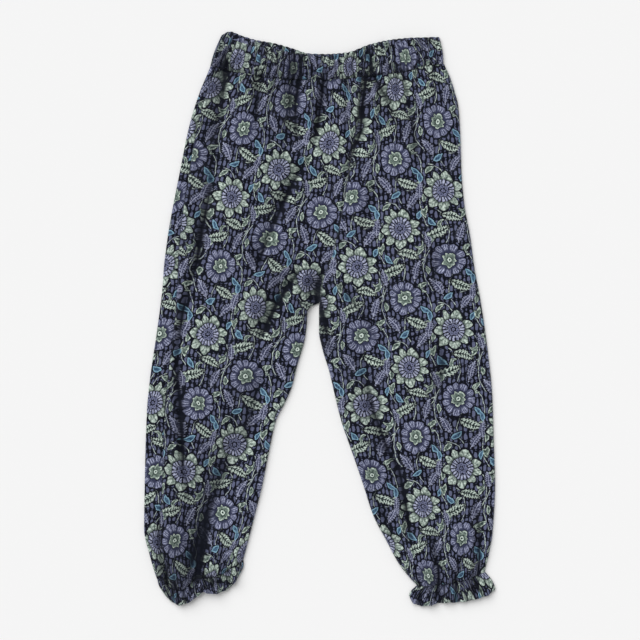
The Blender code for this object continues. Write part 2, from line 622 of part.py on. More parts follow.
def waistband(colour):
    """A gathered casing: both layers share the seam, the back one stands higher at the top."""
    rows = np.array(CASING_ROWS)[:, None]
    edge_x = column(WAISTBAND, "edge_x")

    def layer(seam_curve, edge_y):
        def points(share):
            seam_x = WAIST_RIGHT + WAIST_WIDTH * share
            seam_y = seam_curve(seam_x)
            bulge = CASING_BULGE * np.sin(math.pi * rows) * (2 * share - 1)
            x = seam_x + rows * (edge_x(seam_x) - seam_x) + bulge
            return np.stack((x, seam_y + rows * (edge_y(seam_x) - seam_y)), axis=2)
        return points

    places = GATHER_PLACES * WAIST_GATHERS
    step = np.arange(places + 1)[None, :]
    wave = np.cos(2 * math.pi * step / GATHER_PLACES)
    change = np.sin(step * 0.23 + 1.0) * np.sin(step * 0.071)
    strength = CASING_HEIGHT + CASING_CHANGE * change
    full = 1.0 - CASING_SLACK * np.sin(math.pi * rows)
    ends = ease(np.minimum(step, places - step) / CASING_END)
    height = 2 * CASING_WALL + CASING_GAP + ends * (CASING_FULLNESS + strength * full * wave)
    gathered = even_shares(places)
    gathered = gathered + uneven(gathered, 0.9) * np.sin(math.pi * gathered)
    return flat_ring("waistband", layer(waist_seam_y, column(WAISTBAND, "front_edge_y")),
                     layer(back_waist_seam_y, column(WAISTBAND, "back_edge_y")), WAIST_WIDTH,
                     (gathered, even_shares(WAIST_GATHERS)), height, CASING_WALL, CASING_GAP,
                     True, colour)


def hem_ruffle(leg, colour):
    """A gathered hem: narrow at its elastic seam, wider and wavy at its edge."""
    rows = np.array(RUFFLE_ROWS)[:, None]
    edge_x, edge_y = column(leg.hem, "edge_x"), column(leg.hem, "edge_y")
    outwards = 1.0 if leg is LEFT else -1.0

    def layer(back):
        def points(across):
            seam_x, seam_y = leg.plan(across, CUFF_LEVEL, back)
            down_x, down_y = edge_x(across) - seam_x, edge_y(across) - seam_y
            length = np.hypot(down_x, down_y)
            down = SEAM_GAP / length + rows * (1 - SEAM_GAP / length)
            bulge = RUFFLE_BULGE * outwards * np.sin(math.pi * rows) * (2 * across - 1)
            return np.stack((seam_x + down * down_x + bulge, seam_y + down * down_y), axis=2)
        return points

    across = even_shares(4 * RUFFLE_WAVES)
    seen = layer(False)(across)
    folds = RUFFLE_FOLD_SHARE * folds_at(seen[:, :, 0], seen[:, :, 1])
    swell = RUFFLE_TIGHT + RUFFLE_SWELL * np.sin(math.pi * (0.15 + 0.85 * rows))
    ends = ease(np.minimum(across, 1 - across) / RUFFLE_END)
    flat = BACK_WALL + SEAM_GAP + RUFFLE_WALL
    relief = RUFFLE_FULLNESS + RUFFLE_HEIGHT * swell * ruffle_wave(across) + folds
    relief = relief + RUMPLE_HEIGHT * np.sin(9 * across + 4 * rows)
    height = flat + ends * np.maximum(relief, 0.0)
    width = abs(leg.side(CUFF_LEVEL) - leg.inner(CUFF_LEVEL))
    return flat_ring(leg.name + "_hem_ruffle", layer(False), layer(True), width,
                     (across, even_shares(RUFFLE_WAVES)), height, RUFFLE_WALL, SEAM_GAP, False,
                     colour)


# -------------------------------------------------------------------------------- the garment
NAVY = (0.075, 0.085, 0.125)
DEEP_NAVY = (0.06, 0.068, 0.105)

waistband(NAVY)
front_leg(RIGHT, places=26, colour=NAVY)
front_leg(LEFT, places=24, colour=NAVY)
back_right_leg(places=9, colour=DEEP_NAVY)
back_left_leg(places=9, colour=DEEP_NAVY)
hem_ruffle(RIGHT, NAVY)
hem_ruffle(LEFT, NAVY)
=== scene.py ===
"""Child's pull-on harem pants of printed cotton, laid flat with the front up.

Lengths are in millimetres until a mesh is made. +Y runs up to the waistband, +Z up from the
table, and the wearer's right leg is at -X.
"""

import math

import bpy
import mathutils
import numpy as np
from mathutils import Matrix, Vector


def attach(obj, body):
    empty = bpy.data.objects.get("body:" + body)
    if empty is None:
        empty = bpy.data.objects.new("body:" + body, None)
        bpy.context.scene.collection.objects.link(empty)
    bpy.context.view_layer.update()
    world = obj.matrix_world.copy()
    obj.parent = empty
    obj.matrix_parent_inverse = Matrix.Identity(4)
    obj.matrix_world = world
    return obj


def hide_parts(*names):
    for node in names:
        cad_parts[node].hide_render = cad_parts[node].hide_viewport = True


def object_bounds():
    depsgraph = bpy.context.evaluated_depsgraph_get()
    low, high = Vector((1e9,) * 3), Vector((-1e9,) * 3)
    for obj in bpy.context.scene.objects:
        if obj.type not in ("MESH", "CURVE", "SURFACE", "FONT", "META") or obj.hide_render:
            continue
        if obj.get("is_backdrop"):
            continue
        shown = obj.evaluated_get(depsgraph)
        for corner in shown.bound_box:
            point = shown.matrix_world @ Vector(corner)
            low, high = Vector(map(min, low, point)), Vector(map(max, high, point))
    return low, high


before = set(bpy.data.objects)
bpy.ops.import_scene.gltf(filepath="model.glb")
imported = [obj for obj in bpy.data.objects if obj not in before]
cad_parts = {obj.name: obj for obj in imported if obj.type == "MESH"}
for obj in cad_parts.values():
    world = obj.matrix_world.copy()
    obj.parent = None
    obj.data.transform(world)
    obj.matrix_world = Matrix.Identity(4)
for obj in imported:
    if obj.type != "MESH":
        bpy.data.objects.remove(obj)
cad_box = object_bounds()


# ==================================================================================== front legs
# Two front panels of light woven cotton, each cut in one piece from the waist to the hem and
# sewn together along the centre seam. The waist elastic draws them into pleats and the hem
# elastic into gathers; between the two they lie loosely over the back panels.
MM = 0.001                  # a millimetre, in the scene's metres
SEAM_GAP = 0.3              # between two pieces sewn to each other
CLOTH = 0.6                 # the cloth's own thickness
FLAT_TOP = 3.3              # outer face of the front cloth where it lies flat over the back
DEEPEST = -1.4              # no fold sinks further than this under the flat cloth
SEAM_HEIGHT = 1.4           # the side seams and inseams run this high over the table
EDGE_TURN = 2.2             # radius at which the cloth turns down to those seams
TURN_ANGLES = np.radians(np.linspace(0.0, 90.0, 6))    # steps of that turn
SEAM_RUN = 6.0              # run over which the centre seam turns into the two inseams
FRONT_LIFT = 5.2            # the highest a front leg stands over its flat state
EDGE_FALL = 9.0             # how quickly it rises from its outline
EDGE_ROLL = 3.5             # nearer its outline than this, its folds flatten out
EDGE_SHARE = 0.25           # to this share of their height
PARTING_START = 6.0         # from this high over the crotch the legs' inner edges come down
LEG_PARTING = 30.0          # over this run
SEAM_BRIDGE = 80.0          # above it, the centre seam lies as far from any edge as this
BASE_LIFT = 2.3             # lift of an even stretch
BACK_SAG = 14.5             # how far the back's waist seam sags between the sides
EDGE_STEP_POWER = 8         # how near its edge the right leg takes the step at the crotch
SETTLING_ROUNDS = 4         # after these a point has settled on the curved waist seam

WAIST_LEVEL = 246.0         # level of the waist seam before it is bent into its curve
HIP_LEVEL = 150.0           # below this the levels run straight across
SHIN_LEVEL = -175.0         # below this the levels bend towards the hem's seam
CUFF_LEVEL = -258.0         # level of the hem's seam before it is bent
CROTCH_LEVEL = 16.0         # lowest level of the centre seam
LEG_ROWS = 366              # rows of points down a leg
FRONT_PLACES = 112          # points across a front panel, between its turned edges
LEVELS = np.linspace(WAIST_LEVEL, CUFF_LEVEL, LEG_ROWS)[:, None]

# Waistband: a row for each station along its seam, the seam and then its top edge.
WAISTBAND = {
    "columns": ("seam_x", "seam_y", "edge_x", "front_edge_y", "back_edge_y"),
    "rows": (
        (-109.5, 253.3, -98.2, 282.6, 283.8),
        (-100.0, 250.5, -90.0, 280.6, 287.2),
        (-86.0, 247.0, -79.0, 276.0, 283.4),
        (-70.0, 244.5, -64.0, 272.8, 278.8),
        (-51.0, 240.5, -46.0, 270.0, 275.6),
        (-30.0, 239.6, -27.0, 265.8, 270.2),
        (-10.0, 239.2, -10.0, 264.2, 265.2),
        (6.0, 239.0, 6.0, 263.8, 264.7),
        (27.0, 240.3, 27.0, 265.8, 266.3),
        (50.0, 242.4, 50.0, 273.8, 274.4),
        (79.0, 246.0, 72.0, 278.7, 279.2),
        (102.0, 252.3, 94.0, 280.7, 281.2),
        (123.7, 255.0, 119.5, 281.0, 281.8),
    ),
}

# Outlines, a row for each level: the centre seam, the two inseams and the two sides.
CENTRE_SEAM = (
    (258.0, 42.0), (234.0, 41.5), (199.0, 38.5), (175.0, 33.5), (114.0, 24.0), (63.0, 12.5),
    (40.0, 4.0), (16.0, 0.0),
)
RIGHT_INSEAM = (
    (12.5, -8.3), (6.0, -12.3), (-4.0, -12.7), (-21.0, -15.0), (-45.0, -22.0),
    (-69.0, -28.2), (-85.0, -35.2), (-101.0, -43.4), (-133.0, -50.7), (-165.0, -57.0),
    (-197.0, -65.0), (-229.0, -73.2), (-241.0, -76.5), (-290.0, -90.0),
)
# The right leg's cloth passes the crotch on this smoother line; only its edge takes the step.
RIGHT_FLOW = ((20.0, -3.0), (0.0, -10.0), (-21.0, -15.0))
LEFT_INSEAM = (
    (12.0, -0.9), (-13.0, -0.9), (-29.0, 2.2), (-53.0, 9.4), (-77.0, 15.0), (-101.0, 21.0),
    (-133.0, 32.0), (-165.0, 43.0), (-197.0, 53.5), (-221.0, 66.0), (-245.0, 79.0),
    (-261.0, 91.5), (-267.0, 97.0), (-290.0, 102.0),
)
RIGHT_SIDE = (
    (262.0, -106.5), (251.0, -110.0), (227.0, -120.0), (195.0, -130.0), (147.0, -140.0),
    (83.0, -152.0), (51.0, -156.0), (35.0, -157.0), (-13.0, -163.0), (-61.0, -170.0),
    (-93.0, -173.0), (-157.0, -175.0), (-210.0, -175.75), (-237.0, -170.0),
    (-261.0, -162.5), (-290.0, -149.0),
)
LEFT_SIDE = (
    (262.0, 122.5), (255.0, 124.6), (243.0, 130.0), (227.0, 135.3), (211.0, 139.0),
    (179.0, 141.0), (147.0, 142.0), (115.0, 144.8), (83.0, 150.6), (51.0, 155.0),
    (19.0, 160.9), (-29.0, 167.9), (-77.0, 172.8), (-125.0, 174.4), (-165.0, 175.6),
    (-213.0, 173.2), (-237.0, 169.0), (-253.0, 165.4), (-290.0, 163.0),
)
# How far the right side seam has rolled in from the outline, a row for each level.
RIGHT_ROLL = (
    (262.0, 5.5), (200.0, 8.0), (150.0, 9.5), (100.0, 11.5), (35.0, 15.0), (-60.0, 18.0),
    (-150.0, 18.0), (-230.0, 14.0), (-290.0, 10.0),
)

# Hems, a row for each station from the inseam to the side: level of the seam, hem edge.
RIGHT_HEM = {
    "columns": ("across", "seam_y", "edge_x", "edge_y"),
    "rows": (
        (0.00, -241.0, -79.5, -254.5),
        (0.12, -250.0, -86.0, -265.0),
        (0.25, -257.0, -97.5, -273.0),
        (0.37, -259.0, -107.5, -274.8),
        (0.48, -259.0, -116.0, -273.2),
        (0.58, -264.0, -124.0, -279.0),
        (0.67, -269.0, -132.5, -284.0),
        (0.76, -271.5, -140.0, -286.2),
        (0.86, -269.0, -147.0, -283.6),
        (0.93, -263.5, -151.5, -280.0),
        (0.965, -260.8, -153.8, -277.4),
        (1.00, -261.0, -155.5, -274.5),
    ),
}
LEFT_HEM = {
    "columns": ("across", "seam_y", "edge_x", "edge_y"),
    "rows": (
        (0.00, -267.0, 89.2, -277.0),
        (0.10, -267.3, 94.0, -284.6),
        (0.24, -266.5, 105.0, -287.2),
        (0.38, -265.5, 119.0, -284.2),
        (0.60, -263.0, 141.0, -283.0),
        (0.80, -259.0, 160.0, -279.0),
        (0.93, -255.5, 171.0, -274.5),
        (1.00, -253.3, 175.7, -269.5),
    ),
}

# The largest folds, a row each: name, half-width, height (below zero is a trough), the side
# it leans to (-1 to 1, a lean makes that flank steeper), and its line: x, y and the share of
# the height that it has there.
FOLDS = (
    ("pleat beside the middle", 4.0, -5.0, -0.3,
     ((4, 243, 0.8), (2, 219, 1.0), (-2, 192, 0.9), (-7, 172, 0.1))),
    ("middle gather", 4.8, -5.4, -0.2,
     ((-17, 268, 0.5), (-19, 243, 1.0), (-24, 218, 1.0), (-24, 194, 0.8), (-21, 170, 0.1))),
    ("centre seam pleat", 4.2, -5.8, -0.4,
     ((47, 243, 1.0), (43, 214, 1.1), (41, 186, 0.8), (31, 160, 0.6), (28, 132, 0.1))),
    ("left belly pleat", 4.6, -4.2, 0.3,
     ((49, 274, 0.7), (54, 244, 1.0), (65, 224, 0.9), (77, 196, 0.2))),
    ("left hip pleat", 4.6, -3.2, 0.0,
     ((84, 247, 0.7), (93, 200, 0.6), (97, 172, 0.9), (99, 150, 0.1))),
    ("right belly pleat", 4.6, -3.0, 0.0, ((-58, 243, 0.9), (-62, 215, 0.7), (-65, 188, 0.1))),
    ("belly roll", 9.0, 2.0, 0.0, ((-42, 236, 0.8), (-46, 198, 1.0), (-48, 162, 0.2))),
    ("lap roll", 10.0, 2.0, 0.0, ((21, 232, 0.8), (18, 195, 1.0), (15, 158, 0.2))),
    ("left hip roll", 9.0, 1.9, 0.0, ((106, 242, 1.0), (113, 175, 0.3))),
    ("lap crease", 5.2, -4.9, 0.3,
     ((-14, 158, 0.2), (-27, 135, 1.0), (-39, 109, 1.0), (-50, 84, 0.5), (-58, 64, 1.0),
      (-61, 46, 0.1))),
    ("lap roll below", 9.0, 1.4, 0.0, ((-14, 108, 1.0), (-30, 78, 0.5))),
    ("left lap crease", 7.0, -1.8, -0.3, ((52, 130, 1.0), (44, 84, 0.4))),
    ("left thigh crease", 6.0, -2.4, 0.3, ((120, 78, 0.3), (116, 50, 1.0), (112, 24, 0.2))),
    ("right hip hollow", 13.0, -2.8, 0.0,
     ((-94, 262, 1.0), (-98, 226, 0.9), (-106, 180, 0.7), (-112, 140, 0.5), (-118, 110, 0.1))),
    ("belly hollow", 12.0, -2.2, 0.0, ((-26, 262, 1.0), (-31, 205, 0.8), (-40, 150, 0.3))),
    ("right shin hollow", 17.0, -3.3, 0.0,
     ((-86, -112, 0.2), (-98, -152, 0.8), (-112, -196, 1.0), (-120, -240, 1.0))),
    ("left thigh hollow", 13.0, -1.6, 0.0, ((34, -30, 0.6), (52, -84, 1.0), (66, -130, 0.8))),
    ("crotch crease", 6.6, -5.2, 0.5,
     ((-22, 46, 0.4), (-30, 33, 1.0), (-42, 15, 1.0), (-53, -8, 1.0), (-62, -24, 0.2))),
    ("crotch pull", 8.0, -7.6, 0.0,
     ((3, 46, 0.2), (-1, 34, 0.8), (-1, 22, 1.0), (3, 6, 0.9), (7, -12, 0.5), (12, -36, 0.1))),
    ("left crotch pull", 6.0, -2.4, -0.4, ((20, 34, 0.6), (44, 4, 1.0), (62, -30, 0.2))),
    ("side fold", 4.8, -5.6, -0.6,
     ((-92, 252, 0.9), (-96, 226, 0.3), (-100, 192, 0.1), (-105, 150, 0.25), (-112, 116, 0.8),
      (-119, 80, 1.1), (-122, 58, 0.9), (-130, 34, 0.1), (-137, 6, 0.8), (-142, -28, 0.3),
      (-142, -60, 0.5), (-139, -90, 0.95), (-137, -128, 0.95), (-136, -150, 0.4),
      (-131, -178, 0.2))),
    ("side hollow", 11.0, -1.7, 0.0,
     ((-116, 122, 0.2), (-120, 90, 1.0), (-124, 52, 0.6), (-137, 8, 0.5), (-141, -40, 0.5),
      (-139, -92, 1.0), (-136, -138, 0.3))),
    ("side roll", 7.0, 1.6, 0.0,
     ((-126, 90, 0.6), (-133, 50, 1.0), (-150, 0, 1.0), (-155, -90, 0.4))),
    ("knee hollow", 12.0, -2.4, 0.0,
     ((-56, -50, 0.3), (-64, -74, 1.0), (-71, -108, 1.0), (-79, -136, 0.3))),
    ("left knee crease", 6.0, -3.6, 0.2, ((120, -26, 0.3), (124, -46, 1.0), (119, -74, 0.3))),
    ("left shin crease", 4.6, -4.8, -0.4,
     ((43, -36, 0.2), (54, -92, 0.5), (68, -130, 0.7), (80, -152, 1.0), (86, -184, 1.0),
      (90, -212, 0.7), (94, -228, 0.1))),
    ("left inner shin crease", 5.0, -3.0, 0.0, ((52, -168, 0.3), (64, -196, 1.0), (77, -222, 0.4))),
    ("left calf crease", 7.0, -1.8, 0.0, ((140, -108, 1.0), (143, -150, 0.2))),
    ("left ankle crease", 4.4, -4.2, 0.0,
     ((156, -184, 0.2), (160, -208, 0.8), (160, -240, 1.0), (158, -270, 0.9))),
    ("left hem crease", 4.4, -5.0, -0.3, ((113, -220, 0.4), (119, -250, 0.9), (120, -290, 1.0))),
    ("left hem first hollow", 4.0, -3.4, 0.0, ((99, -254, 0.3), (100, -270, 1.0), (99, -290, 1.0))),
    ("left hem second hollow", 4.0, -3.4, 0.0,
     ((139, -244, 0.2), (136, -268, 1.0), (135, -290, 1.0))),
    ("left hem roll", 8.0, 2.2, 0.0, ((130, -210, 0.7), (130, -252, 1.0))),
    ("right hem fold", 4.4, -5.6, 1.0,
     ((-107, -204, 0.1), (-112, -220, 0.3), (-115, -231, 0.7), (-118, -244, 1.1),
      (-121, -257, 1.3), (-124, -268, 0.6))),
    ("right hem branch", 4.6, -5.4, 0.0,
     ((-121, -256, 0.8), (-110, -262, 1.0), (-102, -263, 0.8), (-96, -262, 0.2))),
    ("right hem hollow", 10.0, -2.6, 0.0,
     ((-114, -196, 0.2), (-121, -214, 0.4), (-127, -236, 0.7), (-130, -250, 0.6))),
    ("right hem side hollow", 6.0, -3.0, 0.0,
     ((-146, -250, 0.3), (-144, -268, 1.0), (-140, -280, 0.6))),
    ("right hem roll", 6.0, 2.8, 0.0, ((-100, -202, 0.5), (-104, -226, 1.0), (-109, -246, 0.6))),
    ("right hem side crease", 4.6, -4.8, 0.0,
     ((-151, -236, 0.2), (-153, -258, 1.0), (-150, -285, 1.0))),
    ("right hem inner crease", 4.4, -3.2, 0.0,
     ((-97, -236, 0.1), (-92, -258, 1.0), (-91, -275, 1.0))),
    ("right ankle crease", 5.0, -2.4, 0.0,
     ((-158, -188, 0.2), (-160, -224, 0.9), (-157, -250, 0.8))),
)
FOLD_LIP = 0.38             # how high the cloth stands up beside a trough, of its depth
LIP_PLACE = 2.1             # and how far from it, in half-widths
CREASE_SHARE = 0.42         # a trough's sharper line: its depth and its width, of the trough's
LEAN_REACH = 0.7            # how much narrower a fold that leans is on its steep side
FAR, TINY = 1e9, 1e-9       # more than any distance here, less than any length


# Curves through those tables, and the soft steps that shapes are made of.
def smooth_curve(stations, values):
    """A monotone cubic through a table's rows, so nothing overshoots between them."""
    order = np.argsort(stations)
    at = np.asarray(stations, float)[order]
    value = np.asarray(values, float)[order]
    run = np.diff(at)
    slope = np.diff(value) / run
    tangent = np.concatenate(([slope[0]], np.zeros(len(at) - 2), [slope[-1]]))
    same_way = slope[:-1] * slope[1:] > 0
    harmonic = 2 * slope[:-1] * slope[1:] / np.where(same_way, slope[:-1] + slope[1:], 1.0)
    tangent[1:-1] = np.where(same_way, harmonic, 0.0)

    def read(position):
        position = np.clip(position, at[0], at[-1])
        index = np.clip(np.searchsorted(at, position) - 1, 0, len(run) - 1)
        share = (position - at[index]) / run[index]
        left, right = value[index], value[index + 1]
        rise = run[index] * tangent[index]
        fall = run[index] * tangent[index + 1]
        return (left * (1 + 2 * share) * (1 - share) ** 2 + rise * share * (1 - share) ** 2
                + right * share ** 2 * (3 - 2 * share) + fall * share ** 2 * (share - 1))

    return read


def column(table, name):
    """One named column of a table, as a curve over its first column."""
    place = table["columns"].index(name)
    return smooth_curve([row[0] for row in table["rows"]], [row[place] for row in table["rows"]])


def edge_curve(*tables):
    """The rows of some tables, as one curve over their first column."""
    rows = [row for table in tables for row in table]
    return smooth_curve([row[0] for row in rows], [row[1] for row in rows])


def ease(value):
    """0 below 0, 1 above 1, and a smooth step between."""
    value = np.clip(value, 0.0, 1.0)
    return value * value * (3 - 2 * value)


def soft_limit(value, top):
    """Keeps a height between 0 and top without a corner."""
    half = top / 2
    return half * (1 + np.tanh((value - half) / half))


# An even spacing wanders by these: how far, how fast, and how its start moves with the seed.
SPACING_WANDER = ((0.0045, 15.1, 1.0), (0.0026, 37.7, 2.3))
WAIST_SEED, PLEAT_SEED, HEM_SEED = 0.9, 1.7, 0.4
HEM_WANDER = 2.4            # at a hem it wanders this many times as far


def uneven(share, seed):
    """A slow wander of an even spacing, so that no two gathers are alike."""
    return sum(amount * np.sin(turns * share + start * seed)
               for amount, turns, start in SPACING_WANDER)


waist_seam_y = column(WAISTBAND, "seam_y")
WAIST_RIGHT = WAISTBAND["rows"][0][0]
WAIST_WIDTH = WAISTBAND["rows"][-1][0] - WAIST_RIGHT


def back_waist_seam_y(x):
    """The back's waist seam: one even sag between the ends of the front's."""
    share = (x - WAIST_RIGHT) / WAIST_WIDTH
    ends = WAISTBAND["rows"][0][1] * (1 - share) + WAISTBAND["rows"][-1][1] * share
    return ends - 4 * BACK_SAG * share * (1 - share)


LEG_FULLNESS = 0.30         # extra cloth across a leg at the waist seam
HEM_FULLNESS = 0.55         # and at the hem's seam
GATHER_REACH = 38.0         # how far from a seam its gathers have faded out


class Leg:
    """Where a leg's cloth lies: across runs 0 at its inner edge to 1 at its side."""

    def __init__(self, name, edges, hem, grain, motif_at):
        self.name = name
        self.inner, self.flow, self.side, self.roll = edges
        self.hem = hem
        self.grain = math.radians(grain)
        self.motif_at = motif_at
        self.outwards = -1.0 if name == "right" else 1.0
        self.hem_level = column(hem, "seam_y")
        first, last = hem["rows"][0], hem["rows"][-1]
        self.back_hem_level = edge_curve((first[:2], last[:2]))

    def plan(self, across, level, back=False):
        """X and Y of a point on the leg; the back's waist and hem seams are plainer."""
        waist = ease((level - HIP_LEVEL) / (WAIST_LEVEL - HIP_LEVEL))
        cuff = ease((SHIN_LEVEL - level) / (SHIN_LEVEL - CUFF_LEVEL))
        hem_level = self.back_hem_level if back else self.hem_level
        seam_y = back_waist_seam_y if back else waist_seam_y
        y = level + cuff * (hem_level(across) - CUFF_LEVEL)
        base = y
        x = 0.0
        for _ in range(SETTLING_ROUNDS):
            step = (self.inner(y) - self.flow(y)) * (1 - across) ** EDGE_STEP_POWER
            x = self.flow(y) + across * (self.side(y) - self.flow(y)) + step
            y = base + waist * (seam_y(x) - SEAM_GAP - WAIST_LEVEL)
        return x, y

    def width(self, level):
        """From the leg's inner edge to its side."""
        return abs(self.side(level) - self.inner(level))

    def side_seam(self, level):
        """How far across the side seam lies: 1 where it is on the outline."""
        if self.roll is None:
            return 1.0 + 0 * level
        return 1.0 - self.roll(level) / self.width(level)

    def lift(self, across, level):
        """How high the front cloth stands over its flat state."""
        x, y = self.plan(across, level)
        width = self.width(y)
        parted = ease((CROTCH_LEVEL + PARTING_START - y) / LEG_PARTING)
        edge = np.minimum((1 - across) * width, across * width + (1 - parted) * SEAM_BRIDGE)
        raw = BASE_LIFT * (1 - np.exp(-edge / EDGE_FALL)) + folds_at(x, y) + rumples_at(x, y)
        raw = raw + pleats_at(x, WAIST_LEVEL - level) + hem_gathers(across, level - CUFF_LEVEL)
        inside = 1 - np.exp(-(edge / EDGE_ROLL) ** 2)
        return soft_limit(raw * (EDGE_SHARE + (1 - EDGE_SHARE) * inside), FRONT_LIFT)

    def print_at(self, x, y, level, shift=(0.0, 0.0)):
        """Place on the printed cloth that lies at a point, in millimetres of cloth."""
        across = math.cos(self.grain) * x - math.sin(self.grain) * y
        along = math.sin(self.grain) * x + math.cos(self.grain) * y
        middle = (self.side(level) + self.inner(level)) / 2
        waist = LEG_FULLNESS * np.exp(-np.maximum(WAIST_LEVEL - level, 0) / GATHER_REACH)
        hem = HEM_FULLNESS * np.exp(-np.maximum(level - CUFF_LEVEL, 0) / GATHER_REACH)
        across = across + (x - middle) * (waist + hem) + taken_in_at(x, y)
        return across + self.motif_at[0] + shift[0], along + self.motif_at[1] + shift[1]


# Folds from their table: their form, their shade and the cloth that they take in.
def folds_near(x, y):
    """For each fold: is it a trough, its height and half-width at a point, how near, which side."""
    shape = np.broadcast(x, y).shape
    for _, half_width, height, lean, line in FOLDS:
        nearest, flank, share = np.full(shape, FAR), np.zeros(shape), np.zeros(shape)
        for (ax, ay, a_share), (bx, by, b_share) in zip(line[:-1], line[1:]):
            run_x, run_y = bx - ax, by - ay
            length = math.hypot(run_x, run_y)
            along = np.clip(((x - ax) * run_x + (y - ay) * run_y) / length ** 2, 0.0, 1.0)
            off_x = x - ax - along * run_x
            off_y = y - ay - along * run_y
            gap = np.hypot(off_x, off_y)
            closer = gap < nearest
            flank = np.where(closer, (off_x * run_y - off_y * run_x) / length, flank)
            share = np.where(closer, a_share + along * (b_share - a_share), share)
            nearest = np.minimum(gap, nearest)
        width = half_width * (1 + LEAN_REACH * lean * np.tanh(2 * flank / half_width))
        yield height < 0, height * share, width, nearest, flank


def bump(distance, width):
    """1 at no distance, falling off smoothly over a width."""
    return np.exp(-(distance / width) ** 2)


def folds_at(x, y):
    """Height that the table of folds adds at a point."""
    total = np.zeros(np.broadcast(x, y).shape)
    for trough, height, width, nearest, _ in folds_near(x, y):
        shape = bump(nearest, width)
        if trough:
            shape = shape - FOLD_LIP * bump(nearest - LIP_PLACE * width, width)
        total = total + height * shape
    return total


def creases_at(x, y):
    """The sharp line at the bottom of each trough."""
    total = np.zeros(np.broadcast(x, y).shape)
    for trough, height, width, nearest, _ in folds_near(x, y):
        if trough:
            total = total + CREASE_SHARE * height * bump(nearest, CREASE_SHARE * width)
    return total


# Painted shade of the troughs, which the material draws into the print's colour.
DARK_TROUGH = 5.2           # depth of a trough at its darkest
CORE_REACH = 0.31           # half-width of the dark line at its bottom, in half-widths
SOFT_DARK, SOFT_REACH = 0.44, 1.35      # the soft shade round it, and how far that reaches
WIDE_HOLLOW = 26.0          # a hollow this much wider is twice as dark for its depth
SHADY_BANK = 0.75           # how much further the shade reaches on its shady side
SOFT_MOST = 0.66            # the print still shows in a soft shade
DARKEST = 1.15              # where two shades meet they add up to this at the most


def trough_shade(x, y):
    """How little light reaches into the troughs: a dark line at the bottom, a soft wide shade.

    The bank that faces away from the light, on the right of a fold's line as it runs, is darker.
    """
    core = np.zeros(np.broadcast(x, y).shape)
    soft = np.zeros(core.shape)
    for trough, height, width, nearest, flank in folds_near(x, y):
        if trough:
            dark = -height / DARK_TROUGH
            wide = SOFT_DARK * (1 + width / WIDE_HOLLOW)
            reach = width * (1 + SHADY_BANK * np.tanh(2 * flank / width))
            core = core + dark * bump(nearest, CORE_REACH * reach)
            soft = soft + dark * wide * bump(nearest, SOFT_REACH * reach)
    return np.clip(core + SOFT_MOST * np.tanh(soft / SOFT_MOST), 0.0, DARKEST)


FOLD_INTAKE = 0.75          # cloth that a trough takes in on each side, of its depth
INTAKE_REACH = 30.0         # how far from the fold the print is drawn towards it
INTAKE_END = 4.0            # and how much sooner that fades past its two ends


def taken_in_at(x, y):
    """How far the print is drawn across towards the troughs, which swallow cloth."""
    total = np.zeros(np.broadcast(x, y).shape)
    for trough, height, width, nearest, flank in folds_near(x, y):
        if trough:
            past_end = np.exp(-(nearest ** 2 - flank ** 2) / INTAKE_REACH ** 2 * INTAKE_END)
            drawn = np.tanh(flank / width) * bump(flank, INTAKE_REACH)
            total = total - FOLD_INTAKE * height * drawn * past_end
    return total


# Pleats and gathers, which the elastic draws into the cloth.
LEG_PLEATS = 13             # soft pleats across both front legs, below the waistband
PLEAT_REACH = 55.0          # how far down they fade out
PLEAT_HEIGHT, PLEAT_CHANGE = 1.15, 0.55     # their mean height, and how it changes across
CHANGE_TURNS, CHANGE_START = 11.0, 0.6      # how quickly it does, and from where
PLEAT_VALLEY = 2.0          # depth of the narrow valleys between them
VALLEY_LEVEL = -0.2         # the part of a gather's profile below this is its valley
VALLEY_ROUND = 0.02         # how round the bottom of a gather's valley is


def pleat_turns(x):
    """Counts the legs' soft pleats along the waist seam; a ridge is a whole number."""
    share = (x - WAIST_RIGHT) / WAIST_WIDTH
    return LEG_PLEATS * (share + uneven(share, PLEAT_SEED))


def pleats_at(x, below_waist):
    """Soft pleats that the waist elastic draws into the front legs."""
    share = (x - WAIST_RIGHT) / WAIST_WIDTH
    fade = np.exp(-np.maximum(below_waist, 0.0) / PLEAT_REACH)
    strength = PLEAT_HEIGHT + PLEAT_CHANGE * np.sin(CHANGE_TURNS * share + CHANGE_START)
    return fade * strength * np.cos(2 * math.pi * pleat_turns(x))


def gather(turns):
    """A gathered edge's profile, from -1 to 1: round ridges with narrow valleys between."""
    return 2 * np.sqrt(np.cos(math.pi * turns) ** 2 + VALLEY_ROUND) / math.sqrt(1 + VALLEY_ROUND) - 1


def pleat_valleys(x):
    """Narrow valleys between the leg's soft pleats."""
    return np.minimum(gather(pleat_turns(x)) - VALLEY_LEVEL, 0.0)


WAIST_GATHERS = 38          # gathers across the front of the waistband
WAIST_RIPPLE = 0.55         # height of these gathers where they run on into the legs
WAIST_RIPPLE_REACH = 13.0


def waist_turns(x):
    """Counts the waistband's gathers along the seam; a ridge is a whole number."""
    share = np.clip((x - WAIST_RIGHT) / WAIST_WIDTH, 0.0, 1.0)
    return WAIST_GATHERS * (share - uneven(share, WAIST_SEED) * np.sin(math.pi * share))


RUFFLE_WAVES = 11           # waves across one hem
GATHER_HEIGHT = 0.9
GATHER_FULLNESS = 0.8       # how much higher the gathered cloth stands
HEM_RIPPLE = 0.35           # finer gathers just above the hem's seam
HEM_RIPPLE_REACH = 9.0
FINER, FINER_START = 2.0, 0.3             # two of them to a wave


def hem_turns(across):
    """Counts the waves of a hem's gathers from its inseam to its side."""
    return RUFFLE_WAVES * (across + HEM_WANDER * uneven(across, HEM_SEED))


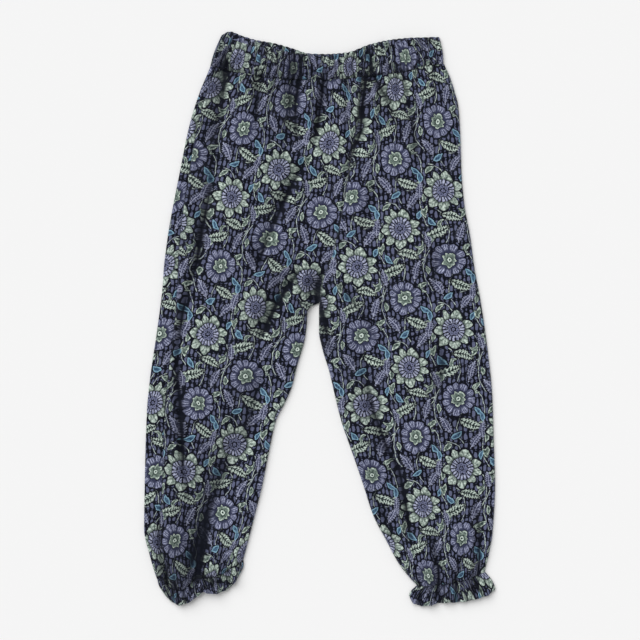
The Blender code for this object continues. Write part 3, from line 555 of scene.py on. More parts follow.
def hem_gathers(across, above_hem):
    """Gathers that the hem elastic draws into a leg."""
    fade = np.exp(-np.maximum(above_hem, 0.0) / GATHER_REACH)
    return fade * (GATHER_HEIGHT * np.cos(2 * math.pi * hem_turns(across)) + GATHER_FULLNESS)


# Wrinkles of washed cloth, and the grooves along its seams.
RUMPLE_HEIGHT = 0.35        # slow unevenness of cloth that has been washed
RUMPLE_ACROSS, RUMPLE_ALONG, RUMPLE_SLANT, RUMPLE_START = 17.0, 29.0, 60.0, 1.1
# Small wrinkles are waves bent by slower ones: length of the wave, and how far, over what
# length and from where it is bent.
BROAD_ACROSS, BROAD_ALONG = (8.3, 1.9, 23.0, 0.7), (12.1, 1.4, 19.0, 0.0)
FINE_ACROSS, FINE_ALONG = (4.7, 1.6, 9.0, 0.0), (6.9, 0.0, 1.0, 0.0)
FINE_SLANT = (0.6, -0.4)
BROAD_HEIGHT, FINE_HEIGHT = 0.20, 0.10


def rumples_at(x, y):
    """Slow waves across the cloth, which cross others that run along it."""
    along = y / RUMPLE_ALONG + x / RUMPLE_SLANT
    return RUMPLE_HEIGHT * np.sin(x / RUMPLE_ACROSS + RUMPLE_START) * np.sin(along)


def bent_wave(way, other, wave):
    """A wave along one way, bent by a slower one along the other."""
    length, bend, bend_length, start = wave
    return np.sin(way / length + bend * np.sin(other / bend_length + start))


def wrinkles_at(x, y):
    """Small soft wrinkles of washed cotton, which have no direction of their own."""
    broad = bent_wave(x, y, BROAD_ACROSS) * bent_wave(y, x, BROAD_ALONG)
    slant_x, slant_y = x + FINE_SLANT[0] * y, y + FINE_SLANT[1] * x
    fine = bent_wave(slant_x, y, FINE_ACROSS) * bent_wave(slant_y, x, FINE_ALONG)
    return BROAD_HEIGHT * broad + FINE_HEIGHT * fine


SEAM_DEPTH, SEAM_WIDTH = 0.75, 1.3          # the groove along a seam
PUCKER_HEIGHT, PUCKER_PITCH, PUCKER_REACH = 0.14, 5.2, 4.0
CENTRE_PUCKERS = 1.7        # the centre seam's puckers are this far out of step with the sides'


def seam_dip(distance, along):
    """The groove and small puckers beside a seam."""
    pucker = np.exp(-distance / PUCKER_REACH) * np.sin(2 * math.pi * along / PUCKER_PITCH)
    return PUCKER_HEIGHT * pucker - SEAM_DEPTH * np.exp(-(distance / SEAM_WIDTH) ** 2)


# The two legs, each from its own edges and hem.
right_flow = edge_curve(CENTRE_SEAM[:-1], RIGHT_FLOW, RIGHT_INSEAM[4:])
left_inner = edge_curve(CENTRE_SEAM, LEFT_INSEAM)
RIGHT = Leg("right",
            (edge_curve(CENTRE_SEAM, RIGHT_INSEAM), right_flow, edge_curve(RIGHT_SIDE),
             edge_curve(RIGHT_ROLL)),
            RIGHT_HEM, grain=9.5, motif_at=(14.0, 31.0))
LEFT = Leg("left", (left_inner, left_inner, edge_curve(LEFT_SIDE), None),
           LEFT_HEM, grain=-4.0, motif_at=(3.0, 52.0))


# A panel's grid of points, and the wall of cloth on it.
def turned_down(distance):
    """Share of its full height that cloth has at a distance from a turned edge."""
    distance = distance - SEAM_GAP / 2
    return np.sqrt(1 - (1 - np.clip(distance / EDGE_TURN, 0.0, 1.0)) ** 2)


def inner_drop(y, distance):
    """How far a panel's inner edge has turned down to its inseam; over the crotch not at all."""
    below_crotch = ease((CROTCH_LEVEL + SEAM_RUN / 2 - y) / SEAM_RUN)
    return below_crotch * (1 - turned_down(distance))


def stations(leg, end, places):
    """Stations across a panel, closer together where its two edges turn."""
    turn = SEAM_GAP / 2 + EDGE_TURN * (1 - np.cos(TURN_ANGLES))
    turn = turn[None, :] / leg.width(LEVELS)
    middle = np.linspace(0.0, 1.0, places)[None, 1:-1]
    between = turn[:, -1:] + middle * (end - 2 * turn[:, -1:])
    return np.concatenate((turn, between, end - turn[:, ::-1]), axis=1)


def front_top(leg, across, level):
    """Height of a front panel's outer face before its edges turn down."""
    x, y = leg.plan(across, level)
    below_waist = WAIST_LEVEL - level
    above_hem = level - CUFF_LEVEL
    ripple = WAIST_RIPPLE * np.exp(-below_waist / WAIST_RIPPLE_REACH) * gather(waist_turns(x))
    ripple = ripple + PLEAT_VALLEY * np.exp(-below_waist / PLEAT_REACH) * pleat_valleys(x)
    finer = gather(FINER * RUFFLE_WAVES * across + FINER_START)
    ripple = ripple + HEM_RIPPLE * np.exp(-above_hem / HEM_RIPPLE_REACH) * finer
    seams = seam_dip(below_waist, x) + seam_dip(above_hem, x)
    to_side = (leg.side_seam(level) - across) * leg.width(level)
    seams = seams + seam_dip(np.abs(to_side), y)
    over_crotch = ease((y - CROTCH_LEVEL) / SEAM_RUN)
    seams = seams + over_crotch * seam_dip(across * leg.width(level), y + CENTRE_PUCKERS)
    fine = wrinkles_at(x, y) + creases_at(x, y) + ripple + seams
    return FLAT_TOP + np.maximum(leg.lift(across, level) + fine, DEEPEST)


def stack(x, y, z):
    """A grid of points from its three coordinates."""
    return np.stack(np.broadcast_arrays(x, y, z), axis=-1)


def thin_wall(outer, upwards):
    """The inner face of a cloth wall whose outer face, a grid of points, looks mostly up or down."""
    normal = np.cross(np.gradient(outer, axis=1), np.gradient(outer, axis=0))
    normal = normal / np.maximum(np.linalg.norm(normal, axis=2, keepdims=True), TINY)
    if (np.median(normal[:, :, 2]) > 0) != upwards:
        normal = -normal
    return outer - CLOTH * normal


def neighbourhood(height, reach):
    """Mean height about each point of a grid, over some rows and places to each side.

    It is taken twice, so that the mean fades towards the edge of its surroundings.
    """
    for axis, steps in enumerate(reach):
        size = height.shape[axis]
        pad = [(0, 0), (0, 0)]
        pad[axis] = (steps, steps)
        for _ in range(2):
            wide = np.pad(height, pad, mode="edge")
            shifted = [np.take(wide, range(shift, shift + size), axis) for shift in range(2 * steps + 1)]
            height = sum(shifted) / len(shifted)
    return height


# Painted shade: the deeper a point lies below its surroundings, the darker its colour is painted.
STEEP_HOLLOW, STEEP_SHADE = 1.1, 0.55   # depth at which a narrow hollow is darkest, and how dark
BROAD_HOLLOW, BROAD_SHADE = 2.6, 0.35   # the same for a wide one
LEG_HOLLOWS = ((2, 2), (7, 7))          # a leg's two surroundings, in rows and places


def fold_shade(height, near, far):
    """How deep each point of a grid lies in its fold, from 0 to 1: the painted shade of its hollows."""
    steep = (neighbourhood(height, near) - height) / STEEP_HOLLOW
    broad = (neighbourhood(height, far) - height) / BROAD_HOLLOW
    return np.clip(steep, 0.0, 1.0) * STEEP_SHADE + np.clip(broad, 0.0, 1.0) * BROAD_SHADE


SHARP_ANGLE = math.radians(60)          # sharper than this, an edge is shaded as one


def add_object(name, data):
    """Puts a mesh, light or camera in the scene."""
    added = bpy.data.objects.new(name, data)
    bpy.context.scene.collection.objects.link(added)
    return added


def cloth_mesh(name, outer, inner, place, shade, ring=False):
    """A closed wall between two grids; for each point, place holds the print's u, v and wear, shade its
    painted shade.
    """
    rows, places = outer.shape[:2]
    far = rows * places
    index = np.arange(far).reshape(rows, places)
    if ring:
        index = np.concatenate((index, index[:, :1]), axis=1)
    corners = [index[:-1, :-1], index[:-1, 1:], index[1:, 1:], index[1:, :-1]]
    front = np.stack([corner.ravel() for corner in corners], axis=1)
    rims = [(index[0, :-1], index[0, 1:]), (index[-1, 1:], index[-1, :-1])]
    if not ring:
        rims += [(index[1:, 0], index[:-1, 0]), (index[:-1, -1], index[1:, -1])]
    edges = [np.stack((b, a, a + far, b + far), axis=1) for a, b in rims]
    faces = np.concatenate([front, front[:, ::-1] + far] + edges)
    points = np.concatenate((outer.reshape(-1, 3), inner.reshape(-1, 3)))
    a, b, c = (points[front[:, corner]] for corner in (0, 1, 3))
    away = points[front[:, 0]] - points[front[:, 0] + far]
    if np.sum(np.cross(b - a, c - a) * away) < 0:
        faces = faces[:, ::-1]
    mesh = bpy.data.meshes.new(name)
    mesh.vertices.add(len(points))
    mesh.vertices.foreach_set("co", (points * MM).ravel())
    mesh.loops.add(faces.size)
    mesh.loops.foreach_set("vertex_index", faces.ravel())
    mesh.polygons.add(len(faces))
    mesh.polygons.foreach_set("loop_start", np.arange(0, faces.size, 4))
    mesh.update(calc_edges=True)
    mesh.shade_smooth()
    mesh.set_sharp_from_angle(angle=SHARP_ANGLE)
    spot = mesh.attributes.new("cloth_place", "FLOAT_VECTOR", "POINT")
    spot.data.foreach_set("vector", np.concatenate((place, place)).reshape(-1))
    depth = mesh.attributes.new("fold_shade", "FLOAT", "POINT")
    depth.data.foreach_set("value", np.tile(shade.ravel(), 2))
    mesh.materials.append(cotton)
    return add_object(name, mesh)


# The print is drawn by maths on the cloth's own places, in a half-drop repeat.
class Wire:
    """One socket of a material; arithmetic on it adds Math nodes."""

    def __init__(self, tree, socket):
        self.tree = tree
        self.socket = socket

    def node(self, kind, settings, values, output=0):
        """Adds a node of a kind: its settings first, then what its sockets hold or take."""
        made = self.tree.nodes.new(kind)
        for name, setting in settings.items():
            setattr(made, name, setting)
        for key, value in values.items():
            if isinstance(value, Wire):
                value.into(made, key)
            else:
                made.inputs[key].default_value = value
        return Wire(self.tree, made.outputs[output])

    def into(self, node, name):
        """Links this socket to one of a node's."""
        self.tree.links.new(self.socket, node.inputs[name])

    def math(self, operation, *values):
        return self.node("ShaderNodeMath", {"operation": operation}, dict(enumerate(values)))

    def __add__(self, other):
        return self.math("ADD", self, other)

    def __radd__(self, other):
        return self.math("ADD", other, self)

    def __sub__(self, other):
        return self.math("SUBTRACT", self, other)

    def __rsub__(self, other):
        return self.math("SUBTRACT", other, self)

    def __mul__(self, other):
        return self.math("MULTIPLY", self, other)

    def __rmul__(self, other):
        return self.math("MULTIPLY", other, self)

    def __truediv__(self, other):
        return self.math("DIVIDE", self, other)

    def apply(self, operation):
        """Maths that takes this socket alone."""
        return self.math(operation, self)

    def __abs__(self):
        return self.apply("ABSOLUTE")

    def least(self, other):
        return self.math("MINIMUM", self, other)

    def most(self, other):
        return self.math("MAXIMUM", self, other)

    def rise(self, low, high):
        """0 below low, 1 above high, straight between; a low above high falls instead."""
        return self.node("ShaderNodeMapRange", {}, {0: self, 1: low, 2: high, 3: 0.0, 4: 1.0})

    def parts(self):
        """The three coordinates of this place."""
        made = self.tree.nodes.new("ShaderNodeSeparateXYZ")
        self.into(made, 0)
        return [Wire(self.tree, output) for output in made.outputs]

    def point(self, x, y, z):
        """A place from three coordinates."""
        return self.node("ShaderNodeCombineXYZ", {}, {0: x, 1: y, 2: z})

    def blend(self, under, over):
        """A colour that passes from under to over as this mask rises."""
        return self.node("ShaderNodeMix", {"data_type": "RGBA"}, {0: self, 6: under, 7: over}, 2)

    def choose(self, under, over):
        """The same for vectors."""
        return self.node("ShaderNodeMix", {"data_type": "VECTOR"}, {0: self, 4: under, 5: over}, 1)

    def noise(self, scale, detail, output="Fac"):
        """Cloudy noise over this place, from 0 to 1; its colour is the same for three axes."""
        return self.node("ShaderNodeTexNoise", {},
                         {"Vector": self, "Scale": scale, "Detail": detail}, output)

    def nudged(self, noise, reach):
        """This place moved by three-way noise."""
        return self.node("ShaderNodeVectorMath", {"operation": "MULTIPLY_ADD"},
                         {0: noise, 1: (reach,) * 3, 2: self})

    def seen_from(self, x, y, turn, size=(1.0, 1.0, 1.0)):
        """This place as a motif at x and y sees it, turned by some degrees and of its size."""
        return self.node("ShaderNodeMapping", {"vector_type": "TEXTURE"},
                         {"Vector": self, "Location": (x, y, 0.0),
                          "Rotation": (0.0, 0.0, math.radians(turn)), "Scale": size})

    def polar(self):
        """How far this place is from the middle, and its angle about it."""
        x, y, _ = self.parts()
        out = self.node("ShaderNodeVectorMath", {"operation": "LENGTH"}, {0: self}, "Value")
        return out, self.math("ARCTAN2", y, x)


def dye(red, green, blue):
    """A dye's colour, from its screen values of 0 to 255 by the screen standard's own curve."""
    levels = [value / 255 for value in (red, green, blue)]
    linear = [v / 12.92 if v <= 0.04045 else ((v + 0.055) / 1.055) ** 2.4 for v in levels]
    return (*linear, 1.0)


NIGHT = dye(3, 7, 20)
PERIWINKLE = dye(98, 103, 131)
LILAC = dye(125, 129, 159)
PALE_LILAC = dye(188, 193, 219)
DEEP_VIOLET = dye(50, 54, 79)
SAGE = dye(116, 132, 123)
PALE_SAGE = dye(211, 226, 216)
DEEP_SAGE = dye(42, 57, 54)
TURQUOISE = dye(136, 174, 196)
SEA_BLUE = dye(82, 114, 142)
DEEP_TEAL = dye(36, 62, 86)
WASHED = dye(120, 126, 140)

COLUMN_PITCH = 46.0         # between two columns of flowers
REPEAT = 139.0              # from a daisy to the next one in its column
DROP = REPEAT / 4           # how far each column stands above the one before

# Leaves, a row each: the strip they are on (columns of flowers, or the strips between them,
# about a daisy's level or a green flower's), kind, place, turn, half-length and half-width,
# and how far the tip bends.
SERRATED, PLAIN, FEATHER, BUD = 1.0, 2.0, 3.0, 4.0
LEAVES = (
    ("daisy", SERRATED, -8.5, 28.0, 18, 14.0, 4.5, 0.4),
    ("daisy", FEATHER, 14.0, 27.0, 70, 11.5, 4.0, -0.3),
    ("daisy", SERRATED, 7.0, 44.0, -16, 12.5, 4.1, -0.4),
    ("daisy", BUD, -14.0, 39.0, -48, 6.3, 3.0, 0.5),
    ("daisy", PLAIN, -19.5, 50.5, 62, 5.6, 2.5, 0.4),
    ("daisy", PLAIN, 19.5, 12.0, 38, 5.4, 2.4, -0.4),
    ("daisy", FEATHER, -12.5, -25.0, 124, 11.5, 4.2, 0.3),
    ("daisy", SERRATED, 10.0, -26.0, -24, 13.5, 4.4, 0.4),
    ("daisy", FEATHER, 14.5, -42.0, 50, 10.5, 3.9, -0.3),
    ("daisy", BUD, -2.5, -36.5, 30, 6.4, 2.9, 0.4),
    ("daisy", PLAIN, -13.0, -47.0, 40, 6.2, 2.6, -0.4),
    ("daisy", PLAIN, -19.5, -8.0, 96, 5.2, 2.4, 0.3),
    ("green", BUD, 20.0, 12.5, 66, 5.2, 2.5, -0.4),
    ("green", PLAIN, -20.0, -6.0, 84, 5.4, 2.4, 0.4),
    ("daisy gap", BUD, 0.5, -19.5, 98, 6.0, 2.8, 0.4),
    ("daisy gap", PLAIN, -4.0, 46.0, 44, 5.2, 2.3, -0.4),
    ("daisy gap", FEATHER, 4.5, 56.0, 100, 9.5, 3.5, 0.3),
    ("green gap", FEATHER, -1.0, 37.0, 82, 10.5, 3.8, -0.3),
    ("green gap", PLAIN, 2.0, 14.0, 116, 5.4, 2.4, 0.4),
    ("green gap", BUD, -4.0, 56.0, 138, 5.8, 2.8, -0.4),
)
LEAF_SCALE = 0.92
# Leaves that curl round: strip, the middle of their curl, its radius, half-width of the leaf,
# the way its middle points, and how far it reaches round to each side, in degrees.
CURLS = (
    ("daisy", -2.0, 35.5, 4.6, 1.6, 165, 95),
    ("daisy", 21.5, -29.0, 4.2, 1.5, 20, 110),
    ("green", 18.5, -16.5, 4.2, 1.5, -60, 105),
    ("daisy gap", -3.0, 9.5, 4.6, 1.6, 205, 95),
    ("green gap", 4.5, -12.5, 4.2, 1.5, 30, 105),
)
# Stems are arcs: strip, the middle of the arc, its radius, the way its own middle points, and
# how far it reaches round to each side, in degrees.
STEMS = (
    ("daisy", -24.0, 30.0, 26.0, 8, 42),
    ("daisy", 18.0, 60.0, 24.0, 195, 34),
    ("daisy", 22.0, -30.0, 25.0, 178, 40),
    ("daisy", -14.0, -58.0, 15.0, 40, 50),
    ("daisy", 26.0, 22.0, 16.0, 140, 40),
    ("daisy gap", 30.0, 25.0, 32.0, 180, 38),
    ("daisy gap", -28.0, -12.0, 30.0, 0, 40),
    ("green gap", 32.0, 20.0, 34.0, 180, 36),
    ("green gap", -30.0, -22.0, 31.0, 0, 38),
    ("green gap", -14.0, 50.0, 14.0, -30, 62),
)
STEM_HALF_WIDTH = 0.32
STEM_OUTLINE, STEM_EDGE = (1.0, 0.4), (0.2, -0.2)

DASH_PITCH = (4.6, 8.3)     # ground dashes, across and along
DASH_HALF = (1.5, 3.35)
DASH_EDGE = (0.15, -0.25)
DASH_DRIFT = (0.5, 0.6)     # how far rows and dashes wander, in pitches
ROW_HOP, ROW_SEED = 4.7, 12.9898        # a row's dashes start anywhere against the row before
DASH_SHORTEST, DASH_SPREAD = 0.55, 0.5  # shares of the half-length
DOT_SIZE, DOT_CHANCE, DOT_SHOW = (0.85, 0.4), (0.75, 0.6), 0.8


def strips_of(u, v):
    """Places on each of the four strips, with its own motif at the middle."""
    strips = {}
    for gap, ending in ((0.0, ""), (0.5, " gap")):
        column_number = (u / COLUMN_PITCH - gap).apply("ROUND")
        x = u - (column_number + gap) * COLUMN_PITCH
        y = v - column_number * DROP
        for name, start in (("daisy", 0.0), ("green", REPEAT / 2)):
            wrapped = y.math("WRAP", y - start, REPEAT / 2, -REPEAT / 2)
            strips[name + ending] = x.point(x, wrapped, 0.0)
    return strips


def nearest_leaf(strips):
    """Along, aside and kind of the leaf nearest to a point, and how near: inside is below 1."""
    nearest = None
    for strip, kind, x, y, turn, half_length, half_width, bend in LEAVES:
        size = (LEAF_SCALE * half_length, LEAF_SCALE * half_width, 1.0)
        along, aside, _ = strips[strip].seen_from(x, y, turn, size).parts()
        square = along * along
        aside = aside - square * bend
        nearest = nearer(nearest, square + abs(aside), along, aside, kind)
    for strip, x, y, radius, half_width, turn, span in CURLS:
        out, angle = strips[strip].seen_from(x, y, turn).polar()
        along = angle * (1 / math.radians(span))
        aside = (out - radius) * (1 / half_width)
        nearest = nearer(nearest, along * along + abs(aside), along, aside, PLAIN)
    return nearest


def nearer(nearest, reach, along, aside, kind):
    """Keeps the nearer of two leaves."""
    leaf = reach.point(along, aside, kind)
    if nearest is None:
        return leaf, reach
    closer = reach.math("LESS_THAN", reach, nearest[1])
    return closer.choose(nearest[0], leaf), reach.least(nearest[1])


def printed_over(under, colour, inside, outline):
    """A motif on what lies under it, with the ground's navy as a line round it."""
    return inside.blend(outline.blend(under, NIGHT), colour)


# Bands, here and below, are where a colour begins to show and where it is full. A leaf's edge
# is at 1 and its midrib at 0.
LEAF_EDGE, LEAF_OUTLINE, LEAF_RIM = (1.06, 0.94), (1.6, 1.25), (0.50, 0.72)
LEAF_MIDRIB, FEATHER_QUILL = (0.22, 0.06), (0.15, 0.04)
TOOTH_TURNS, TOOTH_SLANT = 26.0, 5.0
TOOTH_DEPTH, BARB_DEPTH = 0.18, 0.2
TOOTH_BAND, BARB_BAND = (-0.4, 0.4), (0.2, 0.8)
RIM_SHOW, QUILL_SHOW = 0.6, 0.8
KIND_APART = 0.4


def leaf_colours(leaf, reach, ground, speckle):
    """Draws the nearest leaf over the ground, by its kind."""
    along, aside, kind = leaf.parts()
    is_kind = {}
    for each in (SERRATED, FEATHER, BUD):
        is_kind[each] = kind.math("COMPARE", kind, each, KIND_APART)
    off = abs(aside)
    barbs = (along * TOOTH_TURNS - off * TOOTH_SLANT).apply("SINE")
    cut_in = is_kind[SERRATED] * TOOTH_DEPTH + is_kind[FEATHER] * BARB_DEPTH
    teeth = reach + cut_in * barbs
    rim = teeth.rise(*LEAF_RIM)
    sage = rim.blend(speckle.blend(SAGE, DEEP_SAGE), speckle.blend(PALE_SAGE, SAGE))
    toothed = barbs.rise(*TOOTH_BAND).blend(DEEP_SAGE, speckle.blend(PALE_SAGE, SAGE))
    toothed = (rim * RIM_SHOW).blend(toothed, PALE_SAGE)
    toothed = off.rise(*LEAF_MIDRIB).blend(toothed, NIGHT)
    sage = is_kind[SERRATED].blend(sage, toothed)
    lilac = barbs.rise(*BARB_BAND).blend(DEEP_VIOLET, speckle.blend(LILAC, DEEP_VIOLET))
    lilac = (rim * RIM_SHOW).blend(lilac, speckle.blend(PALE_LILAC, PERIWINKLE))
    lilac = (off.rise(*FEATHER_QUILL) * QUILL_SHOW).blend(lilac, PALE_LILAC)
    blue = rim.blend(speckle.blend(SEA_BLUE, DEEP_TEAL), TURQUOISE)
    colour = is_kind[FEATHER].blend(sage, lilac)
    colour = is_kind[BUD].blend(colour, blue)
    return printed_over(ground, colour, teeth.rise(*LEAF_EDGE), reach.rise(*LEAF_OUTLINE))


# Petals are spaced unevenly by these: turns round the flower, start and share.
PETAL_WANDER = ((2, 1.3, 1.0), (3, 0.4, 0.7))
LENGTH_TURNS, LENGTH_START = 3, 1.0     # how the petals' lengths change round the flower
DOT_TURN = 0.25


def on_petal(angle, count, turn, wander=0.0):
    """Place on the nearest of a flower's petals, from -0.5 to 0.5, and how long that one is."""
    turns = angle * (count / (2 * math.pi)) + turn
    if wander:
        for times, start, share in PETAL_WANDER:
            turns = turns + (angle * times + start).apply("SINE") * (share * wander)
    petal = turns.apply("ROUND")
    step = petal * (2 * math.pi * LENGTH_TURNS / count) + LENGTH_START
    return turns - petal, step.apply("SINE")


def between_petals(place, out, count):
    """Distance to the line between two petals."""
    return (0.5 - abs(place)) * out * (2 * math.pi / count)


def distance_to_dots(out, angle, count, radius, half_size):
    """Distance to the nearest of some dots on a circle, of their half-size."""
    place, _ = on_petal(angle, count, DOT_TURN)
    aside = place * (2 * math.pi * radius / count)
    away = out - radius
    return (aside * aside + away * away).apply("SQRT") / half_size


DAISY_PETALS, DAISY_TURN, DAISY_WANDER = 11, 0.1, 0.16
DAISY_RADIUS, DAISY_BLUNT, DAISY_UNEVEN = 16.4, 52.0, 0.7
DAISY_EDGE, DAISY_OUTLINE, DAISY_RIM = (-0.15, 0.25), (-2.2, -1.5), (1.4, 0.6)
DAISY_SHADE, DAISY_CUT = (10.8, 8.8), (0.75, 0.25)
STREAK_TURNS, STREAK_BAND, STREAK_START = 25.13, (-0.1, 0.7), (8.2, 10.8)
HEART_LOBES, HEART_WANDER, HEART_RADIUS, HEART_NOTCH = 7, 0.2, 8.2, 4.8
HEART_OUTLINE, HEART_EDGE = (-0.9, -0.4), (-0.1, 0.3)
HEART_RIM, HEART_RIM_BAND = 0.8, (0.9, 0.4)
HEART_DOTS = (7, 4.9, 1.2)  # how many, the radius they stand on, and their half-size
DOT_RIM, DOT_RIM_BAND = 0.8, (0.45, 0.2)
EYE_RADIUS, EYE_BAND = 2.9, (0.3, -0.1)
EYE_RING, EYE_RING_BAND = 1.6, (0.8, 0.4)


def daisy_colours(strip, under, speckle):
    """A lilac daisy: eleven broad petals with pale streaks round an uneven sage middle."""
    out, angle = strip.polar()
    place, length = on_petal(angle, DAISY_PETALS, DAISY_TURN, DAISY_WANDER)
    square = place * place
    inside = DAISY_RADIUS - square * square * DAISY_BLUNT + length * DAISY_UNEVEN - out
    streaks = (place * STREAK_TURNS).apply("COSINE").rise(*STREAK_BAND) * out.rise(*STREAK_START)
    cut = between_petals(place, out, DAISY_PETALS).rise(*DAISY_CUT)
    petal = speckle.blend(PERIWINKLE, DEEP_VIOLET)
    petal = streaks.blend(petal, speckle.blend(PALE_LILAC, LILAC))
    petal = inside.rise(*DAISY_RIM).blend(petal, speckle.blend(LILAC, PERIWINKLE))
    petal = out.rise(*DAISY_SHADE).blend(petal, DEEP_VIOLET)
    petal = cut.blend(petal, DEEP_VIOLET)
    flower = printed_over(under, petal, inside.rise(*DAISY_EDGE), inside.rise(*DAISY_OUTLINE))
    lobe, _ = on_petal(angle, HEART_LOBES, 0.0, HEART_WANDER)
    heart = HEART_RADIUS - abs(lobe) * HEART_NOTCH - out
    flower = heart.rise(*HEART_OUTLINE).blend(flower, NIGHT)
    flower = heart.rise(*HEART_EDGE).blend(flower, speckle.blend(SAGE, DEEP_SAGE))
    rim = abs(heart - HEART_RIM).rise(*HEART_RIM_BAND)
    flower = rim.blend(flower, speckle.blend(PALE_SAGE, SAGE))
    dots = distance_to_dots(out, angle, *HEART_DOTS)
    flower = abs(dots - DOT_RIM).rise(*DOT_RIM_BAND).blend(flower, SAGE)
    flower = (out - EYE_RADIUS).rise(*EYE_BAND).blend(flower, DEEP_SAGE)
    return abs(out - EYE_RING).rise(*EYE_RING_BAND).blend(flower, PALE_SAGE)


GREEN_PETALS, GREEN_TURN, GREEN_WANDER = 9, 0.35, 0.2
GREEN_RADIUS, GREEN_POINT, GREEN_BLUNT, GREEN_UNEVEN = 20.4, 6.0, 15.0, 0.9
GREEN_EDGE, GREEN_OUTLINE, GREEN_CUT = (-0.15, 0.35), (-2.4, -1.6), (0.65, 0.25)
VEIN_TURNS, VEIN_SLANT, VEIN_BAND, VEIN_SHOW = 21.0, 0.5, (0.2, 0.8), 0.6
GREEN_SHADE, GREEN_SHADE_SHOW = (14.0, 12.0), 0.7
DISC_EDGE = (12.0, 11.5)
FLORETS, FLORET_WANDER, FLORET_WIDTH = 19, 0.15, (0.38, 0.24)
FLORET_RADIUS, FLORET_LENGTH = 8.8, (2.5, 2.2)
DISC_DOTS, DISC_MIDDLE = (7, 4.2, 1.8), 1.5
DOT_EDGE, DOT_MIDDLE = (1.1, 0.9), (0.5, 0.2)


def green_flower_colours(strip, under, speckle):
    """A sage flower: nine blunt petals, apart at their tips, about a lilac disc."""
    out, angle = strip.polar()
    place, length = on_petal(angle, GREEN_PETALS, GREEN_TURN, GREEN_WANDER)
    tip = GREEN_RADIUS - abs(place) * GREEN_POINT - place * place * GREEN_BLUNT
    inside = tip + length * GREEN_UNEVEN - out
    veins = (abs(place) * VEIN_TURNS - out * VEIN_SLANT).apply("SINE")
    cut = between_petals(place, out, GREEN_PETALS).rise(*GREEN_CUT)
    petal = speckle.blend(PALE_SAGE, SAGE)
    petal = (veins.rise(*VEIN_BAND) * VEIN_SHOW).blend(petal, DEEP_SAGE)
    petal = (out.rise(*GREEN_SHADE) * GREEN_SHADE_SHOW).blend(petal, DEEP_SAGE)
    petal = cut.blend(petal, NIGHT)
    flower = printed_over(under, petal, inside.rise(*GREEN_EDGE), inside.rise(*GREEN_OUTLINE))
    flower = out.rise(*DISC_EDGE).blend(flower, NIGHT)
    floret, _ = on_petal(angle, FLORETS, 0.0, FLORET_WANDER)
    florets = abs(floret).rise(*FLORET_WIDTH) * abs(out - FLORET_RADIUS).rise(*FLORET_LENGTH)
    flower = florets.blend(flower, speckle.blend(PALE_LILAC, PERIWINKLE))
    middle = (out / DISC_MIDDLE).least(distance_to_dots(out, angle, *DISC_DOTS))
    flower = middle.rise(*DOT_EDGE).blend(flower, speckle.blend(LILAC, PERIWINKLE))
    return middle.rise(*DOT_MIDDLE).blend(flower, DEEP_VIOLET)


def ground_colours(u, v, drift):
    """Rows of uneven periwinkle dashes with a dot between some, on navy."""
    across = u / DASH_PITCH[0] + drift * DASH_DRIFT[0]
    row = across.apply("FLOOR")
    along = v / DASH_PITCH[1] + (row * ROW_SEED).apply("SINE") * ROW_HOP + drift * DASH_DRIFT[1]
    cell = along.apply("FLOOR")
    seed = row.point(row, cell, 0.0)
    chance = row.node("ShaderNodeTexWhiteNoise", {"noise_dimensions": "2D"}, {"Vector": seed})
    x = (across - row - 0.5) * DASH_PITCH[0]
    y = (along - cell - 0.5) * DASH_PITCH[1]
    half_length = DASH_HALF[1] * (DASH_SHORTEST + chance * DASH_SPREAD)
    past_end = (abs(y) - half_length + DASH_HALF[0]).most(0.0)
    reach = (x * x + past_end * past_end).apply("SQRT") - DASH_HALF[0]
    dot_y = abs(y) - DASH_PITCH[1] / 2
    dot = (x * x + dot_y * dot_y).rise(*DOT_SIZE) * chance.rise(*DOT_CHANCE)
    ground = reach.rise(*DASH_EDGE).blend(NIGHT, PERIWINKLE)
    return (dot * DOT_SHOW).blend(ground, PERIWINKLE)


def stem_distance(strips):
    """How far a point is from the nearest of the thin stems between the flowers."""
    nearest = None
    for strip, x, y, radius, turn, span in STEMS:
        out, angle = strips[strip].seen_from(x, y, turn).polar()
        past_end = (abs(angle) - math.radians(span)) * radius
        gap = abs(out - radius).most(past_end)
        nearest = gap if nearest is None else nearest.least(gap)
    return nearest - STEM_HALF_WIDTH


# Noise over the cloth, each its scale and detail: fading, wander of the ground's dashes, wear of
# the dye in the threads, flecks in the motifs, and the hand that drew them.
CLOUD, DRIFT, MOTTLE, SPECKLE = (0.05, 2.0), (0.22, 1.0), (0.8, 2.0), (0.42, 3.0)
HAND, JITTER = (0.11, 3.0), (0.5, 1.0)
HAND_WANDER, HAND_JITTER = 4.0, 1.5     # how unevenly it drew, and how rough its outlines are
SPECKLE_BAND, MOTTLE_BAND, MOTTLE_SHOW = (0.40, 0.62), (0.44, 0.74), 0.34
THREAD_PITCH = 0.55         # the weave
FOLD_DARK = 0.85            # how far a fold's painted shade darkens the print at its bottom
FADED_CLOUD, FADED_WEAR, FADED_WEAVE = 0.16, 0.10, 0.015
ROUGHNESS, ROUGH_CLOUD, ROUGH_WEAVE = 0.80, 0.12, 0.04
WEAVE_STRENGTH, WEAVE_DEPTH = 0.35, 0.00012
SHINE, SHEEN, SHEEN_ROUGHNESS = 0.12, 0.05, 0.5


def thread_wave(distance):
    """The over and under of a thread in the weave."""
    return (distance * (2 * math.pi / THREAD_PITCH)).apply("SINE")


def new_material(name):
    """A material and its shader, still plain."""
    material = bpy.data.materials.new(name)
    material.use_nodes = True
    return material, material.node_tree.nodes["Principled BSDF"]


